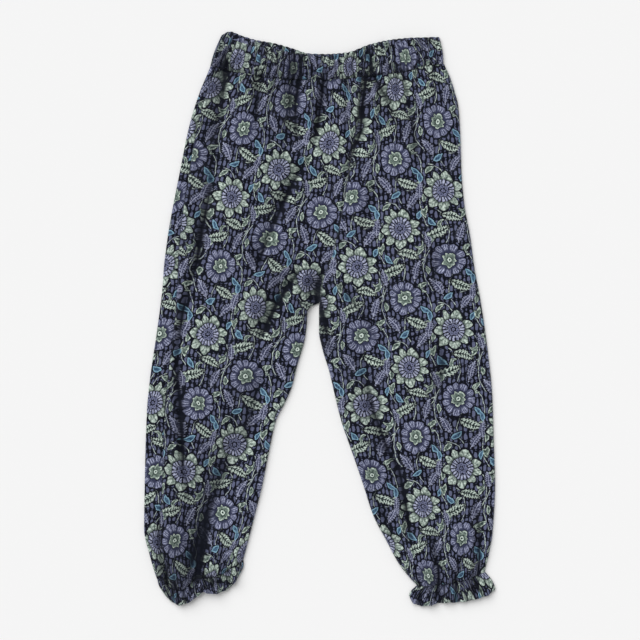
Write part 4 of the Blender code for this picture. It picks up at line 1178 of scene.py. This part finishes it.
def printed_cotton():
    """Light woven cotton, printed with daisies, leaves and stems on a dashed navy ground."""
    material, shader = new_material("printed_cotton")
    start = Wire(material.node_tree, None)
    place = start.node("ShaderNodeAttribute", {"attribute_name": "cloth_place"}, {}, "Vector")
    shade = start.node("ShaderNodeAttribute", {"attribute_name": "fold_shade"}, {}, "Fac")
    u, v, wear = place.parts()
    cloud = place.noise(*CLOUD) - 0.5
    speckle = place.noise(*SPECKLE).rise(*SPECKLE_BAND)
    smooth = place.nudged(place.noise(*HAND, "Color"), HAND_WANDER)
    smooth_u, smooth_v, _ = smooth.parts()
    drawn_u, drawn_v, _ = smooth.nudged(place.noise(*JITTER, "Color"), HAND_JITTER).parts()
    strips = strips_of(drawn_u, drawn_v)
    colour = ground_colours(u, v, place.noise(*DRIFT) - 0.5)
    stem = stem_distance(strips_of(smooth_u, smooth_v))
    stem_colour = speckle.blend(PALE_SAGE, LILAC)
    colour = printed_over(colour, stem_colour, stem.rise(*STEM_EDGE), stem.rise(*STEM_OUTLINE))
    leaf, reach = nearest_leaf(strips)
    colour = leaf_colours(leaf, reach, colour, speckle)
    colour = daisy_colours(strips["daisy"], colour, speckle)
    colour = green_flower_colours(strips["green"], colour, speckle)

    weave = thread_wave(u) * thread_wave(v)
    colour = (place.noise(*MOTTLE).rise(*MOTTLE_BAND) * MOTTLE_SHOW).blend(colour, NIGHT)
    # Painted shade: the folds' depth, from the fold_shade attribute, darkens the colour towards navy.
    colour = (shade.least(DARKEST) * FOLD_DARK).blend(colour, NIGHT)
    faded = cloud * FADED_CLOUD + wear * FADED_WEAR + weave * FADED_WEAVE
    colour = faded.rise(0.0, 1.0).blend(colour, WASHED)
    colour.into(shader, "Base Color")
    roughness = ROUGHNESS + cloud * ROUGH_CLOUD + weave * ROUGH_WEAVE
    roughness.into(shader, "Roughness")
    threads = start.node("ShaderNodeBump", {}, {"Strength": WEAVE_STRENGTH, "Distance": WEAVE_DEPTH,
                                                "Height": weave})
    threads.into(shader, "Normal")
    shader.inputs["Specular IOR Level"].default_value = SHINE
    shader.inputs["Sheen Weight"].default_value = SHEEN
    shader.inputs["Sheen Roughness"].default_value = SHEEN_ROUGHNESS
    return material


cotton = printed_cotton()

# The two front panels.
WEAR_REACH = 1.5            # the print is rubbed paler this near a panel's long edges
SHADE_EDGE = 9.0            # no hollow's painted shade shows nearer an edge than this
PAST_SIDE = 1.05            # the side seam is no such edge, as the cloth goes on past it
SEAM_SHADE = 0.3            # painted shade: cloth at a seam is painted this much darker, as in its gathers' shadow
WAIST_SHADE, HEM_SHADE = 4.0, 7.0       # and how far from the seam that fades


def edge_wear(leg, across, level):
    """1 along a panel's long edges, falling off within a few millimetres."""
    edge = np.minimum(across, leg.side_seam(level) - across) * leg.width(level)
    return np.exp(-edge / WEAR_REACH)


def front_leg(leg):
    """A front panel from the centre seam to the side seam."""
    across = stations(leg, leg.side_seam(LEVELS), FRONT_PLACES)
    x, y = leg.plan(across, LEVELS)
    width = leg.width(LEVELS)
    top = front_top(leg, across, LEVELS)
    turned = 1 - inner_drop(y, across * width)
    if leg.roll is None:
        turned = turned * turned_down((1 - across) * width)
    low = SEAM_HEIGHT + SEAM_GAP / 2
    outer = stack(x, y, low + (top - low) * turned)
    u, v = leg.print_at(x, y, LEVELS)
    place = stack(u, v, edge_wear(leg, across, LEVELS))
    # Painted shade of the hollows and troughs, and along the waist and hem seams.
    inside = np.minimum(across, PAST_SIDE - across) * width
    shade = fold_shade(top, *LEG_HOLLOWS) * ease(inside / SHADE_EDGE)
    shade = np.maximum(shade, trough_shade(x, y))
    at_waist = np.exp((LEVELS - WAIST_LEVEL) / WAIST_SHADE)
    at_hem = np.exp((CUFF_LEVEL - LEVELS) / HEM_SHADE)
    shade = shade + SEAM_SHADE * (at_waist + at_hem)
    return cloth_mesh("front_" + leg.name + "_leg_cloth", outer, thin_wall(outer, True), place,
                      shade)


for leg in (RIGHT, LEFT):
    panel = front_leg(leg)
    node = "front_" + leg.name + "_leg"
    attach(panel, "root")
    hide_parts(node)


# ===================================================================================== back legs
# Two back panels of the same cotton, sewn to the front ones at the inseams and sides. The left
# one lies flat under its front; the right one is rolled over the edge, so that its side seam
# shows on top, a finger's width inside the outline.
FOLD_RADIUS = 2.6           # of the right leg's rolled edge
BACK_PLACES = 62            # points across the left panel, between its turned edges
FLAT_PLACES = 56            # and across the right one: its flat part, then what shows on top
LIP_PLACES = 18
ROLL_ANGLES = np.radians(np.linspace(-75.0, 75.0, 9))[None, :]
BACK_CREASE = 0.22          # creases in the underside, of the front's folds
BACK_CREASE_PLACE = (15.0, -8.0)        # and where they lie against those
BACK_WRINKLE, WRINKLE_PLACE = 0.4, 40.0
BACK_PRESSED = 0.12         # what is shallower than this is pressed flat
BACK_GATHER, BACK_GATHER_REACH, BACK_GATHER_START = 0.3, 16.0, 0.4
BACK_CREASE_TOP = 0.5       # the deepest crease
BACK_FLAT_EDGE = 8.0        # nearer its edges than this, the back lies flat
BACK_PRINT = {"right": (9.0, 44.0), "left": (19.0, -27.0)}    # where on the cloth each is cut


def back_lift(x, y, across, level):
    """The underside is pressed flat by the table but for shallow hollows."""
    edge = np.minimum(across, 1 - across) * RIGHT.width(level)
    creases = -BACK_CREASE * folds_at(BACK_CREASE_PLACE[0] - x, y + BACK_CREASE_PLACE[1])
    hollow = creases + BACK_WRINKLE * wrinkles_at(x + WRINKLE_PLACE, y) - BACK_PRESSED
    fade = np.exp(-(WAIST_LEVEL - level) / BACK_GATHER_REACH)
    gathers = BACK_GATHER * fade * gather(waist_turns(x) + BACK_GATHER_START)
    hollow = np.clip(hollow + gathers, 0.0, BACK_CREASE_TOP)
    return hollow * (1 - np.exp(-(edge / BACK_FLAT_EDGE) ** 2))


def back_left_leg():
    """A plain back panel, turned up at its two edges."""
    leg = LEFT
    across = stations(leg, leg.side_seam(LEVELS), BACK_PLACES)
    x, y = leg.plan(across, LEVELS, back=True)
    width = leg.width(LEVELS)
    turned = turned_down((1 - across) * width) * (1 - inner_drop(y, across * width))
    high = SEAM_HEIGHT - SEAM_GAP / 2
    outer = stack(x, y, high * (1 - turned) + back_lift(x, y, across, LEVELS))
    u, v = leg.print_at(x, y, LEVELS, shift=BACK_PRINT["left"])
    place = stack(u, v, edge_wear(leg, across, LEVELS))
    shade = np.zeros(outer.shape[:2])
    return cloth_mesh("back_left_leg_cloth", outer, thin_wall(outer, False), place, shade)


def back_right_leg():
    """A back panel whose side rolls over the leg's edge as far as the side seam."""
    leg = RIGHT
    width = leg.width(LEVELS)
    turn = 1.0 - FOLD_RADIUS / width
    inner_turn = (SEAM_GAP / 2 + EDGE_TURN * (1 - np.cos(TURN_ANGLES)))[None, :] / width
    flat_shares = np.linspace(0, 1, FLAT_PLACES)[None, 1:]
    flat = inner_turn[:, -1:] + flat_shares * (turn - inner_turn[:, -1:])
    flat = np.concatenate((inner_turn, flat), axis=1)
    lip_shares = np.linspace(0, 1, LIP_PLACES)[None, :]
    lip_end = leg.side_seam(LEVELS) + SEAM_GAP / 2 / width
    lip = turn + lip_shares * (lip_end - turn)

    flat_x, flat_y = leg.plan(flat, LEVELS, back=True)
    flat_z = (SEAM_HEIGHT - SEAM_GAP / 2) * inner_drop(flat_y, flat * width)
    flat_z = flat_z + back_lift(flat_x, flat_y, flat, LEVELS)

    lip_x, lip_y = leg.plan(lip, LEVELS)
    lip_z = front_top(leg, lip, LEVELS)

    climb = (1 + np.sin(ROLL_ANGLES)) / 2
    across = turn + FOLD_RADIUS * np.cos(ROLL_ANGLES) / width
    back_x, back_y = leg.plan(across, LEVELS, back=True)
    front_x, front_y = leg.plan(across, LEVELS)
    roll_x = back_x + climb * (front_x - back_x)
    roll_y = back_y + climb * (front_y - back_y)
    outer = np.concatenate((stack(flat_x, flat_y, flat_z), stack(roll_x, roll_y, climb * lip_z[:, :1]),
                            stack(lip_x, lip_y, lip_z)), axis=1)
    run = np.linalg.norm(np.diff(outer, axis=1), axis=2)
    spread = np.concatenate((flat_x[:, :1], flat_x[:, :1] - np.cumsum(run, axis=1)), axis=1)
    u, v = leg.print_at(spread, outer[:, :, 1], LEVELS, shift=BACK_PRINT["right"])
    place = stack(u, v, np.zeros(u.shape))
    shade = np.zeros(outer.shape[:2])
    # Painted shade on the rolled lip that shows on top.
    lip_shade = fold_shade(lip_z, *LEG_HOLLOWS) * lip_shares
    shade[:, -LIP_PLACES:] = np.maximum(lip_shade, trough_shade(lip_x, lip_y))
    return cloth_mesh("back_right_leg_cloth", outer, thin_wall(outer, False), place, shade)


for make, node in ((back_right_leg, "back_right_leg"), (back_left_leg, "back_left_leg")):
    panel = make()
    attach(panel, "root")
    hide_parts(node)


# ===================================================================================== waistband
# One strip of the same cotton, folded over wide elastic and sewn to the legs all round. The
# elastic draws it into narrow gathers; the back layer stands a little higher than the front.
CASING_WALL = 1.6           # cloth, elastic and cloth
CASING_TOP = 3.9            # front layer's outer face at the two ends
CASING_HEIGHT = 29.0
CASING_DEEPEST = -0.9       # its valleys go no deeper
CASING_BULGE = 1.2          # how far its two ends bow out
CASING_END = 2.0            # radius of those round ends
CASING_FULLNESS = 0.9       # how high it stands over them
CASING_RISE = 0.035         # share of the width over which it rises to that
CASING_CREASE = 0.25        # how much of the folds runs on into it
CASING_PLACES = (560, 300)  # points along the front layer and the back one
CASING_ROWS, ROW_CROWDING = 20, 0.9
CASING_EDGE = 0.7           # radius of the folded top edge
CASING_SCALLOP = 0.35       # how far the gathers show in that edge's outline
SCALLOP_POWER = 4
BACK_START = 0.45           # the back's gathers are this far out of step with the front's
BACK_MEAN, BACK_RELIEF, BACK_EDGE = 0.35, 0.45, 0.6
# The gathers: how they sway as they rise; how their strength changes along the band (how much,
# how quickly, from where) and slackens half way up; and finer ones on them.
SWAY, SWAY_UP, SWAY_ALONG = 0.25, 5.0, 9.0
STRONG, STRONG_TURNS, STRONG_START, STRONG_SWELL = 0.30, 27.0, 1.0, 8.3
PATCHY, PATCHY_TURNS, PATCHY_START = 0.16, 61.0, 2.0
SLACK = 0.35
FINEST, FINEST_TIMES, FINEST_BEND, FINEST_UP = 0.12, 2.3, 2.0, 7.0
BAND_FULLNESS = 0.45        # extra cloth along the band
BAND_DRAWN = 1.1            # how far the print is drawn towards each valley
BAND_PRINT, PRINT_HEIGHT = (7.0, 88.0), 31.0            # where on the cloth it is cut
BAND_WEAR, BAND_WEAR_POWER = 0.6, 12
# Painted shade of the band: in its gathers' hollows, in the troughs and along its seam.
BAND_HOLLOWS, BAND_SHADE, BAND_TROUGHS = ((0, 3), (2, 12)), 2.1, 1.1
BAND_SEAM = 8               # how quickly its seam's shade fades, of its height
END_ANGLES = np.radians(np.linspace(-72.0, 72.0, 7))
LEAST_ROUND = 0.2           # radius of the inner face's ends, at the least


def flat_tube(front, back, width, places, front_z, back_z, wall, end_radius):
    """Outer and inner faces of a tube that lies flat: front, back and its two round ends.

    front and back give [row][place] points at shares of the width, front_z and back_z the
    height of those layers' outer faces, and places how many stations each layer has.
    """
    front_shares = np.linspace(0.0, 1.0, places[0])[None, :]
    back_shares = np.linspace(1.0, 0.0, places[1])[None, :]

    def face(inset, radius):
        def drawn_in(share):
            return (inset + radius + share * (width - 2 * inset - 2 * radius)) / width

        top = front(drawn_in(front_shares))
        top_z = front_z(front_shares) - inset
        bottom = back(drawn_in(back_shares))
        bottom_z = back_z(back_shares) + inset
        pieces = [stack(top[..., 0], top[..., 1], top_z)]
        for end, angles in ((1.0, END_ANGLES[::-1]), (0.0, END_ANGLES)):
            out = (inset + radius * (1 - np.cos(angles[None, :]))) / width
            share = 1 - out if end else out
            climb = (1 + np.sin(angles))[None, :] / 2
            edge_front, edge_back = front(share), back(share)
            plan = edge_back + climb[..., None] * (edge_front - edge_back)
            z_top = top_z[:, -1:] if end else top_z[:, :1]
            z_low = bottom_z[:, :1] if end else bottom_z[:, -1:]
            arc = stack(plan[..., 0], plan[..., 1], z_low + climb * (z_top - z_low))
            pieces.append(arc)
            if end:
                pieces.append(stack(bottom[..., 0], bottom[..., 1], bottom_z))
        return np.concatenate(pieces, axis=1)

    return face(0.0, end_radius), face(wall, max(end_radius - wall, LEAST_ROUND))


def around_tube(outer, fullness):
    """How far round a flat tube each of its places is, in millimetres of cloth."""
    run = np.linalg.norm(np.diff(outer, axis=1), axis=2).mean(axis=0)
    return np.concatenate(([0.0], np.cumsum(run)))[None, :] * (1 + fullness)


def off_the_ends(share, rise):
    """0 at a tube's two ends and 1 from a share of its width inwards."""
    return ease(np.minimum(share, 1 - share) / rise)


def waistband():
    """The gathered casing, its two layers and its round ends."""
    rows = np.linspace(0.0, 1.0, CASING_ROWS)[:, None] ** ROW_CROWDING
    edge_x = column(WAISTBAND, "edge_x")

    def layer(seam_curve, edge_y):
        def points(share):
            seam_x = WAIST_RIGHT + WAIST_WIDTH * share
            seam_y = seam_curve(seam_x)
            bulge = CASING_BULGE * np.sin(math.pi * rows) * (2 * share - 1)
            x = seam_x + rows * (edge_x(seam_x) - seam_x) + bulge
            scallop = CASING_SCALLOP * rows ** SCALLOP_POWER * gather(waist_turns(seam_x))
            return np.stack((x, seam_y + rows * (edge_y(seam_x) - seam_y) + scallop), axis=2)
        return points

    front = layer(waist_seam_y, column(WAISTBAND, "front_edge_y"))
    back = layer(back_waist_seam_y, column(WAISTBAND, "back_edge_y"))

    def profile(share, offset):
        """Gathers of uneven strength, flatter half way up, with a groove at the seam."""
        seam_x = WAIST_RIGHT + WAIST_WIDTH * share
        sway = SWAY * np.sin(SWAY_UP * rows + SWAY_ALONG * share)
        turns = waist_turns(seam_x) + offset + sway
        change = np.sin(STRONG_TURNS * share + STRONG_START) * np.sin(STRONG_SWELL * share)
        strength = 1.0 + STRONG * change + PATCHY * np.sin(PATCHY_TURNS * share + PATCHY_START)
        full = 1.0 - SLACK * np.sin(math.pi * rows)
        ends = off_the_ends(share, CASING_RISE)
        bend = FINEST_BEND * np.sin(FINEST_UP * rows)
        fine = FINEST * np.sin(2 * math.pi * turns * FINEST_TIMES + bend)
        seam = seam_dip(rows * CASING_HEIGHT, seam_x)
        past = np.clip((rows * CASING_HEIGHT - CASING_HEIGHT + CASING_EDGE) / CASING_EDGE, 0.0, 1.0)
        folded = CASING_EDGE * (1 - np.sqrt(1 - past ** 2))
        return ends * (CASING_FULLNESS + strength * full * gather(turns) + fine) + seam, folded

    def front_z(share):
        relief, folded = profile(share, 0.0)
        points = front(share)
        relief = relief + CASING_CREASE * folds_at(points[..., 0], points[..., 1])
        return CASING_TOP + np.maximum(relief, CASING_DEEPEST) - folded

    def back_z(share):
        relief, folded = profile(share, BACK_START)
        return np.maximum(BACK_MEAN - BACK_RELIEF * relief, 0.0) + BACK_EDGE * folded

    outer, inner = flat_tube(front, back, WAIST_WIDTH, CASING_PLACES, front_z, back_z,
                             CASING_WALL, CASING_END)
    drawn = BAND_DRAWN * np.sin(2 * math.pi * waist_turns(outer[:1, :, 0]))
    u = around_tube(outer, BAND_FULLNESS) + drawn + BAND_PRINT[0]
    place = stack(u, rows * PRINT_HEIGHT + BAND_PRINT[1], BAND_WEAR * rows ** BAND_WEAR_POWER)
    on_front = outer[:, :, 2] > CASING_TOP / 2
    # Painted shade of the band's gathers, troughs and seam.
    shade = BAND_SHADE * fold_shade(outer[:, :, 2], *BAND_HOLLOWS)
    shade = shade + BAND_TROUGHS * trough_shade(outer[:, :, 0], outer[:, :, 1]) * on_front
    shade = shade + SEAM_SHADE * np.exp(-rows * BAND_SEAM)
    return cloth_mesh("waistband_cloth", outer, inner, place, shade, ring=True), outer


band, band_face = waistband()
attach(band, "root")
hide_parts("waistband")

# A row of stitches in navy thread runs round the casing just above its seam.
STITCH_PITCH = 3.1          # from one stitch to the next
STITCH_LENGTH = 2.3
THREAD = 0.42               # the thread's thickness
END_CLEAR = 4.0             # no stitch is nearer than this to a folded end
BAND_STITCH_ROW = 1         # row of the casing's points that they follow
THREAD_ROUGHNESS, ROUGH_TWIST = 0.6, 0.2
TWIST, TWIST_BAND = (900.0, 1.0), (0.35, 0.65)
BEAD_SIDES, BEAD_RINGS = 6, 5


def sewing_thread():
    """Navy cotton thread, a little uneven along its twist."""
    material, shader = new_material("sewing_thread")
    start = Wire(material.node_tree, None)
    twist = start.node("ShaderNodeTexCoord", {}, {}, "Object").noise(*TWIST)
    colour = twist.rise(*TWIST_BAND).blend(DEEP_VIOLET, NIGHT)
    colour.into(shader, "Base Color")
    roughness = THREAD_ROUGHNESS + twist * ROUGH_TWIST
    roughness.into(shader, "Roughness")
    return material


def stitches_along_a_line():
    """Geometry nodes that lay a stitch at even steps along a line."""
    tree = bpy.data.node_groups.new("stitches_along_a_line", "GeometryNodeTree")
    tree.interface.new_socket("Line", in_out="INPUT", socket_type="NodeSocketGeometry")
    for name in ("Pitch", "Length", "Thickness"):
        tree.interface.new_socket(name, in_out="INPUT", socket_type="NodeSocketFloat")
    tree.interface.new_socket("Thread", in_out="INPUT", socket_type="NodeSocketMaterial")
    tree.interface.new_socket("Stitches", in_out="OUTPUT", socket_type="NodeSocketGeometry")
    given = tree.nodes.new("NodeGroupInput")
    line, pitch, length, thickness, material = (Wire(tree, socket) for socket in given.outputs[:5])
    curve = line.node("GeometryNodeMeshToCurve", {}, {"Mesh": line})
    steps = line.node("GeometryNodeResampleCurve", {"mode": "LENGTH"},
                      {"Curve": curve, "Length": pitch})
    bead = line.node("GeometryNodeMeshUVSphere", {},
                     {"Segments": BEAD_SIDES, "Rings": BEAD_RINGS, "Radius": 0.5})
    stitch = line.node("GeometryNodeTransform", {},
                       {"Geometry": bead, "Scale": length.point(length, thickness, thickness)})
    way = line.node("GeometryNodeInputTangent", {}, {})
    turned = line.node("FunctionNodeAlignRotationToVector", {"axis": "X"}, {"Vector": way})
    laid = line.node("GeometryNodeInstanceOnPoints", {},
                     {"Points": steps, "Instance": stitch, "Rotation": turned})
    solid = line.node("GeometryNodeRealizeInstances", {}, {"Geometry": laid})
    sewn = line.node("GeometryNodeSetMaterial", {}, {"Geometry": solid, "Material": material})
    sewn.into(tree.nodes.new("NodeGroupOutput"), 0)
    return tree


thread = sewing_thread()
stitching = stitches_along_a_line()


def sew(name, points):
    """Rows of stitches along points on a tube's front and back, clear of its two folded ends."""
    points = np.array(points)
    points[:, 2] = np.maximum(points[:, 2], THREAD / 2)
    from_end = np.minimum(points[:, 0] - points[:, 0].min(), points[:, 0].max() - points[:, 0])
    sewn_here = (from_end > END_CLEAR) & (np.roll(from_end, -1) > END_CLEAR)
    ends = [(int(place), (int(place) + 1) % len(points)) for place in np.flatnonzero(sewn_here)]
    line = bpy.data.meshes.new(name + "_line")
    line.from_pydata([tuple(point) for point in points * MM], ends, [])
    seam = add_object(name + "_line", line)
    needle = seam.modifiers.new("needle", "NODES")
    needle.node_group = stitching
    values = {"Pitch": STITCH_PITCH * MM, "Length": STITCH_LENGTH * MM,
              "Thickness": THREAD * MM, "Thread": thread}
    for socket in stitching.interface.items_tree:
        if socket.name in values:
            needle[socket.identifier] = values[socket.name]
    sewn = bpy.data.meshes.new_from_object(seam.evaluated_get(bpy.context.evaluated_depsgraph_get()))
    seam.modifiers.remove(needle)
    bpy.data.objects.remove(seam)
    sewn.materials.pop(index=0)
    return add_object(name, sewn)


waist_stitches = sew("waist_stitches", band_face[BAND_STITCH_ROW])
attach(waist_stitches, "root")


# ==================================================================================== hem ruffles
# Each leg ends in a narrow strip gathered by a thin elastic: tight at its seam, flaring into
# a small wavy frill at its edge.
RUFFLE_WALL = 0.8
RUFFLE_TOP = 3.4            # front layer's outer face at the two ends
RUFFLE_DEEPEST = -0.7       # its valleys go no deeper
RUFFLE_HEIGHT = 15.0
RUFFLE_WIDTH = 90.0
RUFFLE_BULGE = 1.6          # how far its two ends bow out
RUFFLE_END = 1.7            # radius of those round ends
RUFFLE_RISE = 0.08          # share of the width over which it rises from them
RUFFLE_FULLNESS = 1.5       # how high it stands over them
RUFFLE_RELIEF = 1.1         # height of its waves
RUFFLE_TIGHT, RUFFLE_SWELL = 0.75, 0.45     # share of that at the seam, and what swells below
SWELL_START = 0.15          # where along half a wave that swelling starts
RUFFLE_SWAY, RUFFLE_SWAY_DOWN, RUFFLE_SWAY_ALONG = 0.12, 4.0, 7.0
RUFFLE_FINE, RUFFLE_FINE_FADE = 0.4, 4.0    # finer gathers at the seam
RUFFLE_SLOW, RUFFLE_SLOW_ALONG, RUFFLE_SLOW_DOWN = 0.4, 9, 4
RUFFLE_CREASE = 0.6         # how much of the leg's folds runs on into it
UNDER_START, UNDER_RELIEF, UNDER_TOP = 0.35, 0.35, 0.7  # the back layer's waves
FRILL, FRILL_SHARE, FRILL_START = 0.4, 0.8, 2.0         # the edge's waves, as seen from above
RUFFLE_ROWS = 22
RUFFLE_PLACES = (260, 150)
RUFFLE_PRINT, RUFFLE_PRINT_HEIGHT = (30, 60.0), 17.0    # where on the cloth it is cut
RUFFLE_WEAR, RUFFLE_WEAR_POWER = 0.7, 10
# Painted shade of the ruffle: in its gathers' hollows, in the troughs and along its seam.
RUFFLE_HOLLOWS, RUFFLE_SHADE, RUFFLE_TROUGHS = ((1, 5), (4, 16)), 1.3, 0.6
RUFFLE_SEAM = 5
HEM_STITCH_ROW = 2          # row of the ruffle's points that its stitches follow


def hem_ruffle(leg):
    """The gathered frill of one leg."""
    rows = np.linspace(0.0, 1.0, RUFFLE_ROWS)[:, None]
    edge_x, edge_y = column(leg.hem, "edge_x"), column(leg.hem, "edge_y")

    def layer(back):
        def points(across):
            seam_x, seam_y = leg.plan(across, CUFF_LEVEL, back)
            down_x, down_y = edge_x(across) - seam_x, edge_y(across) - seam_y
            length = np.hypot(down_x, down_y)
            down = SEAM_GAP / length + rows * (1 - SEAM_GAP / length)
            bulge = RUFFLE_BULGE * leg.outwards * np.sin(math.pi * rows) * (2 * across - 1)
            waves_seen = 2 * math.pi * RUFFLE_WAVES * FRILL_SHARE * across + FRILL_START * back
            frill = FRILL * rows ** 2 * np.sin(waves_seen)
            return np.stack((seam_x + down * down_x + bulge, seam_y + down * down_y + frill), axis=2)
        return points

    front, back = layer(False), layer(True)

    def waves(across, offset):
        sway = RUFFLE_SWAY * np.sin(RUFFLE_SWAY_DOWN * rows + RUFFLE_SWAY_ALONG * across)
        turns = hem_turns(across) + offset + sway
        swelling = np.sin(math.pi * (SWELL_START + (1 - SWELL_START) * rows))
        swell = RUFFLE_TIGHT + RUFFLE_SWELL * swelling
        fine = RUFFLE_FINE * np.exp(-rows * RUFFLE_FINE_FADE) * gather(turns * FINER + FINER_START)
        return RUFFLE_RELIEF * swell * np.cos(2 * math.pi * turns) + fine

    def front_z(across):
        slow = RUFFLE_SLOW * np.sin(RUFFLE_SLOW_ALONG * across + RUFFLE_SLOW_DOWN * rows)
        points = front(across)
        creases = RUFFLE_CREASE * folds_at(points[..., 0], points[..., 1])
        relief = RUFFLE_FULLNESS + waves(across, 0.0) + slow + creases
        seam = seam_dip(rows * RUFFLE_HEIGHT, across * RUFFLE_WIDTH)
        relief = off_the_ends(across, RUFFLE_RISE) * np.maximum(relief, RUFFLE_DEEPEST)
        return RUFFLE_TOP + relief + seam

    def back_z(across):
        relief = np.clip(UNDER_RELIEF * waves(across, UNDER_START), 0.0, UNDER_TOP)
        return off_the_ends(across, RUFFLE_RISE) * relief

    outer, inner = flat_tube(front, back, leg.width(CUFF_LEVEL), RUFFLE_PLACES,
                             front_z, back_z, RUFFLE_WALL, RUFFLE_END)
    u = around_tube(outer, HEM_FULLNESS) + RUFFLE_PRINT[0] * leg.outwards
    wear = RUFFLE_WEAR * rows ** RUFFLE_WEAR_POWER
    place = stack(u, RUFFLE_PRINT[1] - rows * RUFFLE_PRINT_HEIGHT, wear)
    # Painted shade of the ruffle's gathers, troughs and seam.
    shade = RUFFLE_SHADE * fold_shade(outer[:, :, 2], *RUFFLE_HOLLOWS)
    shade = shade + RUFFLE_TROUGHS * trough_shade(outer[:, :, 0], outer[:, :, 1])
    shade = shade + SEAM_SHADE * np.exp(-rows * RUFFLE_SEAM)
    return cloth_mesh(leg.name + "_hem_ruffle_cloth", outer, inner, place, shade, ring=True), outer


for leg in (RIGHT, LEFT):
    ruffle, ruffle_face = hem_ruffle(leg)
    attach(ruffle, "root")
    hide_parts(leg.name + "_hem_ruffle")
    stitches = sew(leg.name + "_hem_stitches", ruffle_face[HEM_STITCH_ROW])
    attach(stitches, "root")


# ========================================================================= table, lights, camera
# A plain pale table under soft studio light from the waist's end, seen from straight above.
TABLE_SIZE = 12.0
TABLE_COLOUR = (0.90, 0.90, 0.90, 1.0)
TABLE_ROUGHNESS, TABLE_SHINE = 0.9, 0.1
TABLE_DROP = 0.0002         # keeps the table just clear of the cloth that lies on it
LENS, SENSOR = 100.0, 36.0
VIEW_WIDTH = 0.640          # what the camera sees at the cloth's height
CLOTH_HEIGHT = 0.003
VIEW_MIDDLE = (0.00025, -0.00125)
WHITE = (1.0, 1.0, 1.0, 1.0)
KEY_FROM = (-0.62, 0.85, 1.1)
KEY_STRENGTH = 2.42
KEY_SOFTNESS = 60.0         # degrees across, as of a large soft box
SKY_STRENGTH = 0.46


def table_material():
    """A matt pale board."""
    material, shader = new_material("pale_table")
    shader.inputs["Base Color"].default_value = TABLE_COLOUR
    shader.inputs["Roughness"].default_value = TABLE_ROUGHNESS
    shader.inputs["Specular IOR Level"].default_value = TABLE_SHINE
    return material


half = TABLE_SIZE / 2
corners = ((-half, -half), (half, -half), (half, half), (-half, half))
table_mesh = bpy.data.meshes.new("table")
table_mesh.from_pydata([(x, y, -TABLE_DROP) for x, y in corners], [], [(0, 1, 2, 3)])
table_mesh.materials.append(table_material())
table = add_object("table", table_mesh)
table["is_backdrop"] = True

sun = bpy.data.lights.new("studio_key", "SUN")
sun.energy = KEY_STRENGTH
sun.angle = math.radians(KEY_SOFTNESS)
key = add_object("studio_key", sun)
key.rotation_euler = mathutils.Vector(KEY_FROM).to_track_quat("Z", "Y").to_euler()

world = bpy.data.worlds.new("studio")
world.use_nodes = True
background = world.node_tree.nodes["Background"]
background.inputs["Color"].default_value = WHITE
background.inputs["Strength"].default_value = SKY_STRENGTH
bpy.context.scene.world = world
bpy.context.scene.view_settings.view_transform = "Standard"

camera_data = bpy.data.cameras.new("camera")
camera_data.lens = LENS
camera_data.sensor_width = SENSOR
camera = add_object("camera", camera_data)
camera.location = (*VIEW_MIDDLE, CLOTH_HEIGHT + VIEW_WIDTH * LENS / SENSOR)
bpy.context.scene.camera = camera

boxes = [[[float(value) for value in corner] for corner in box] for box in (cad_box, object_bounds())]
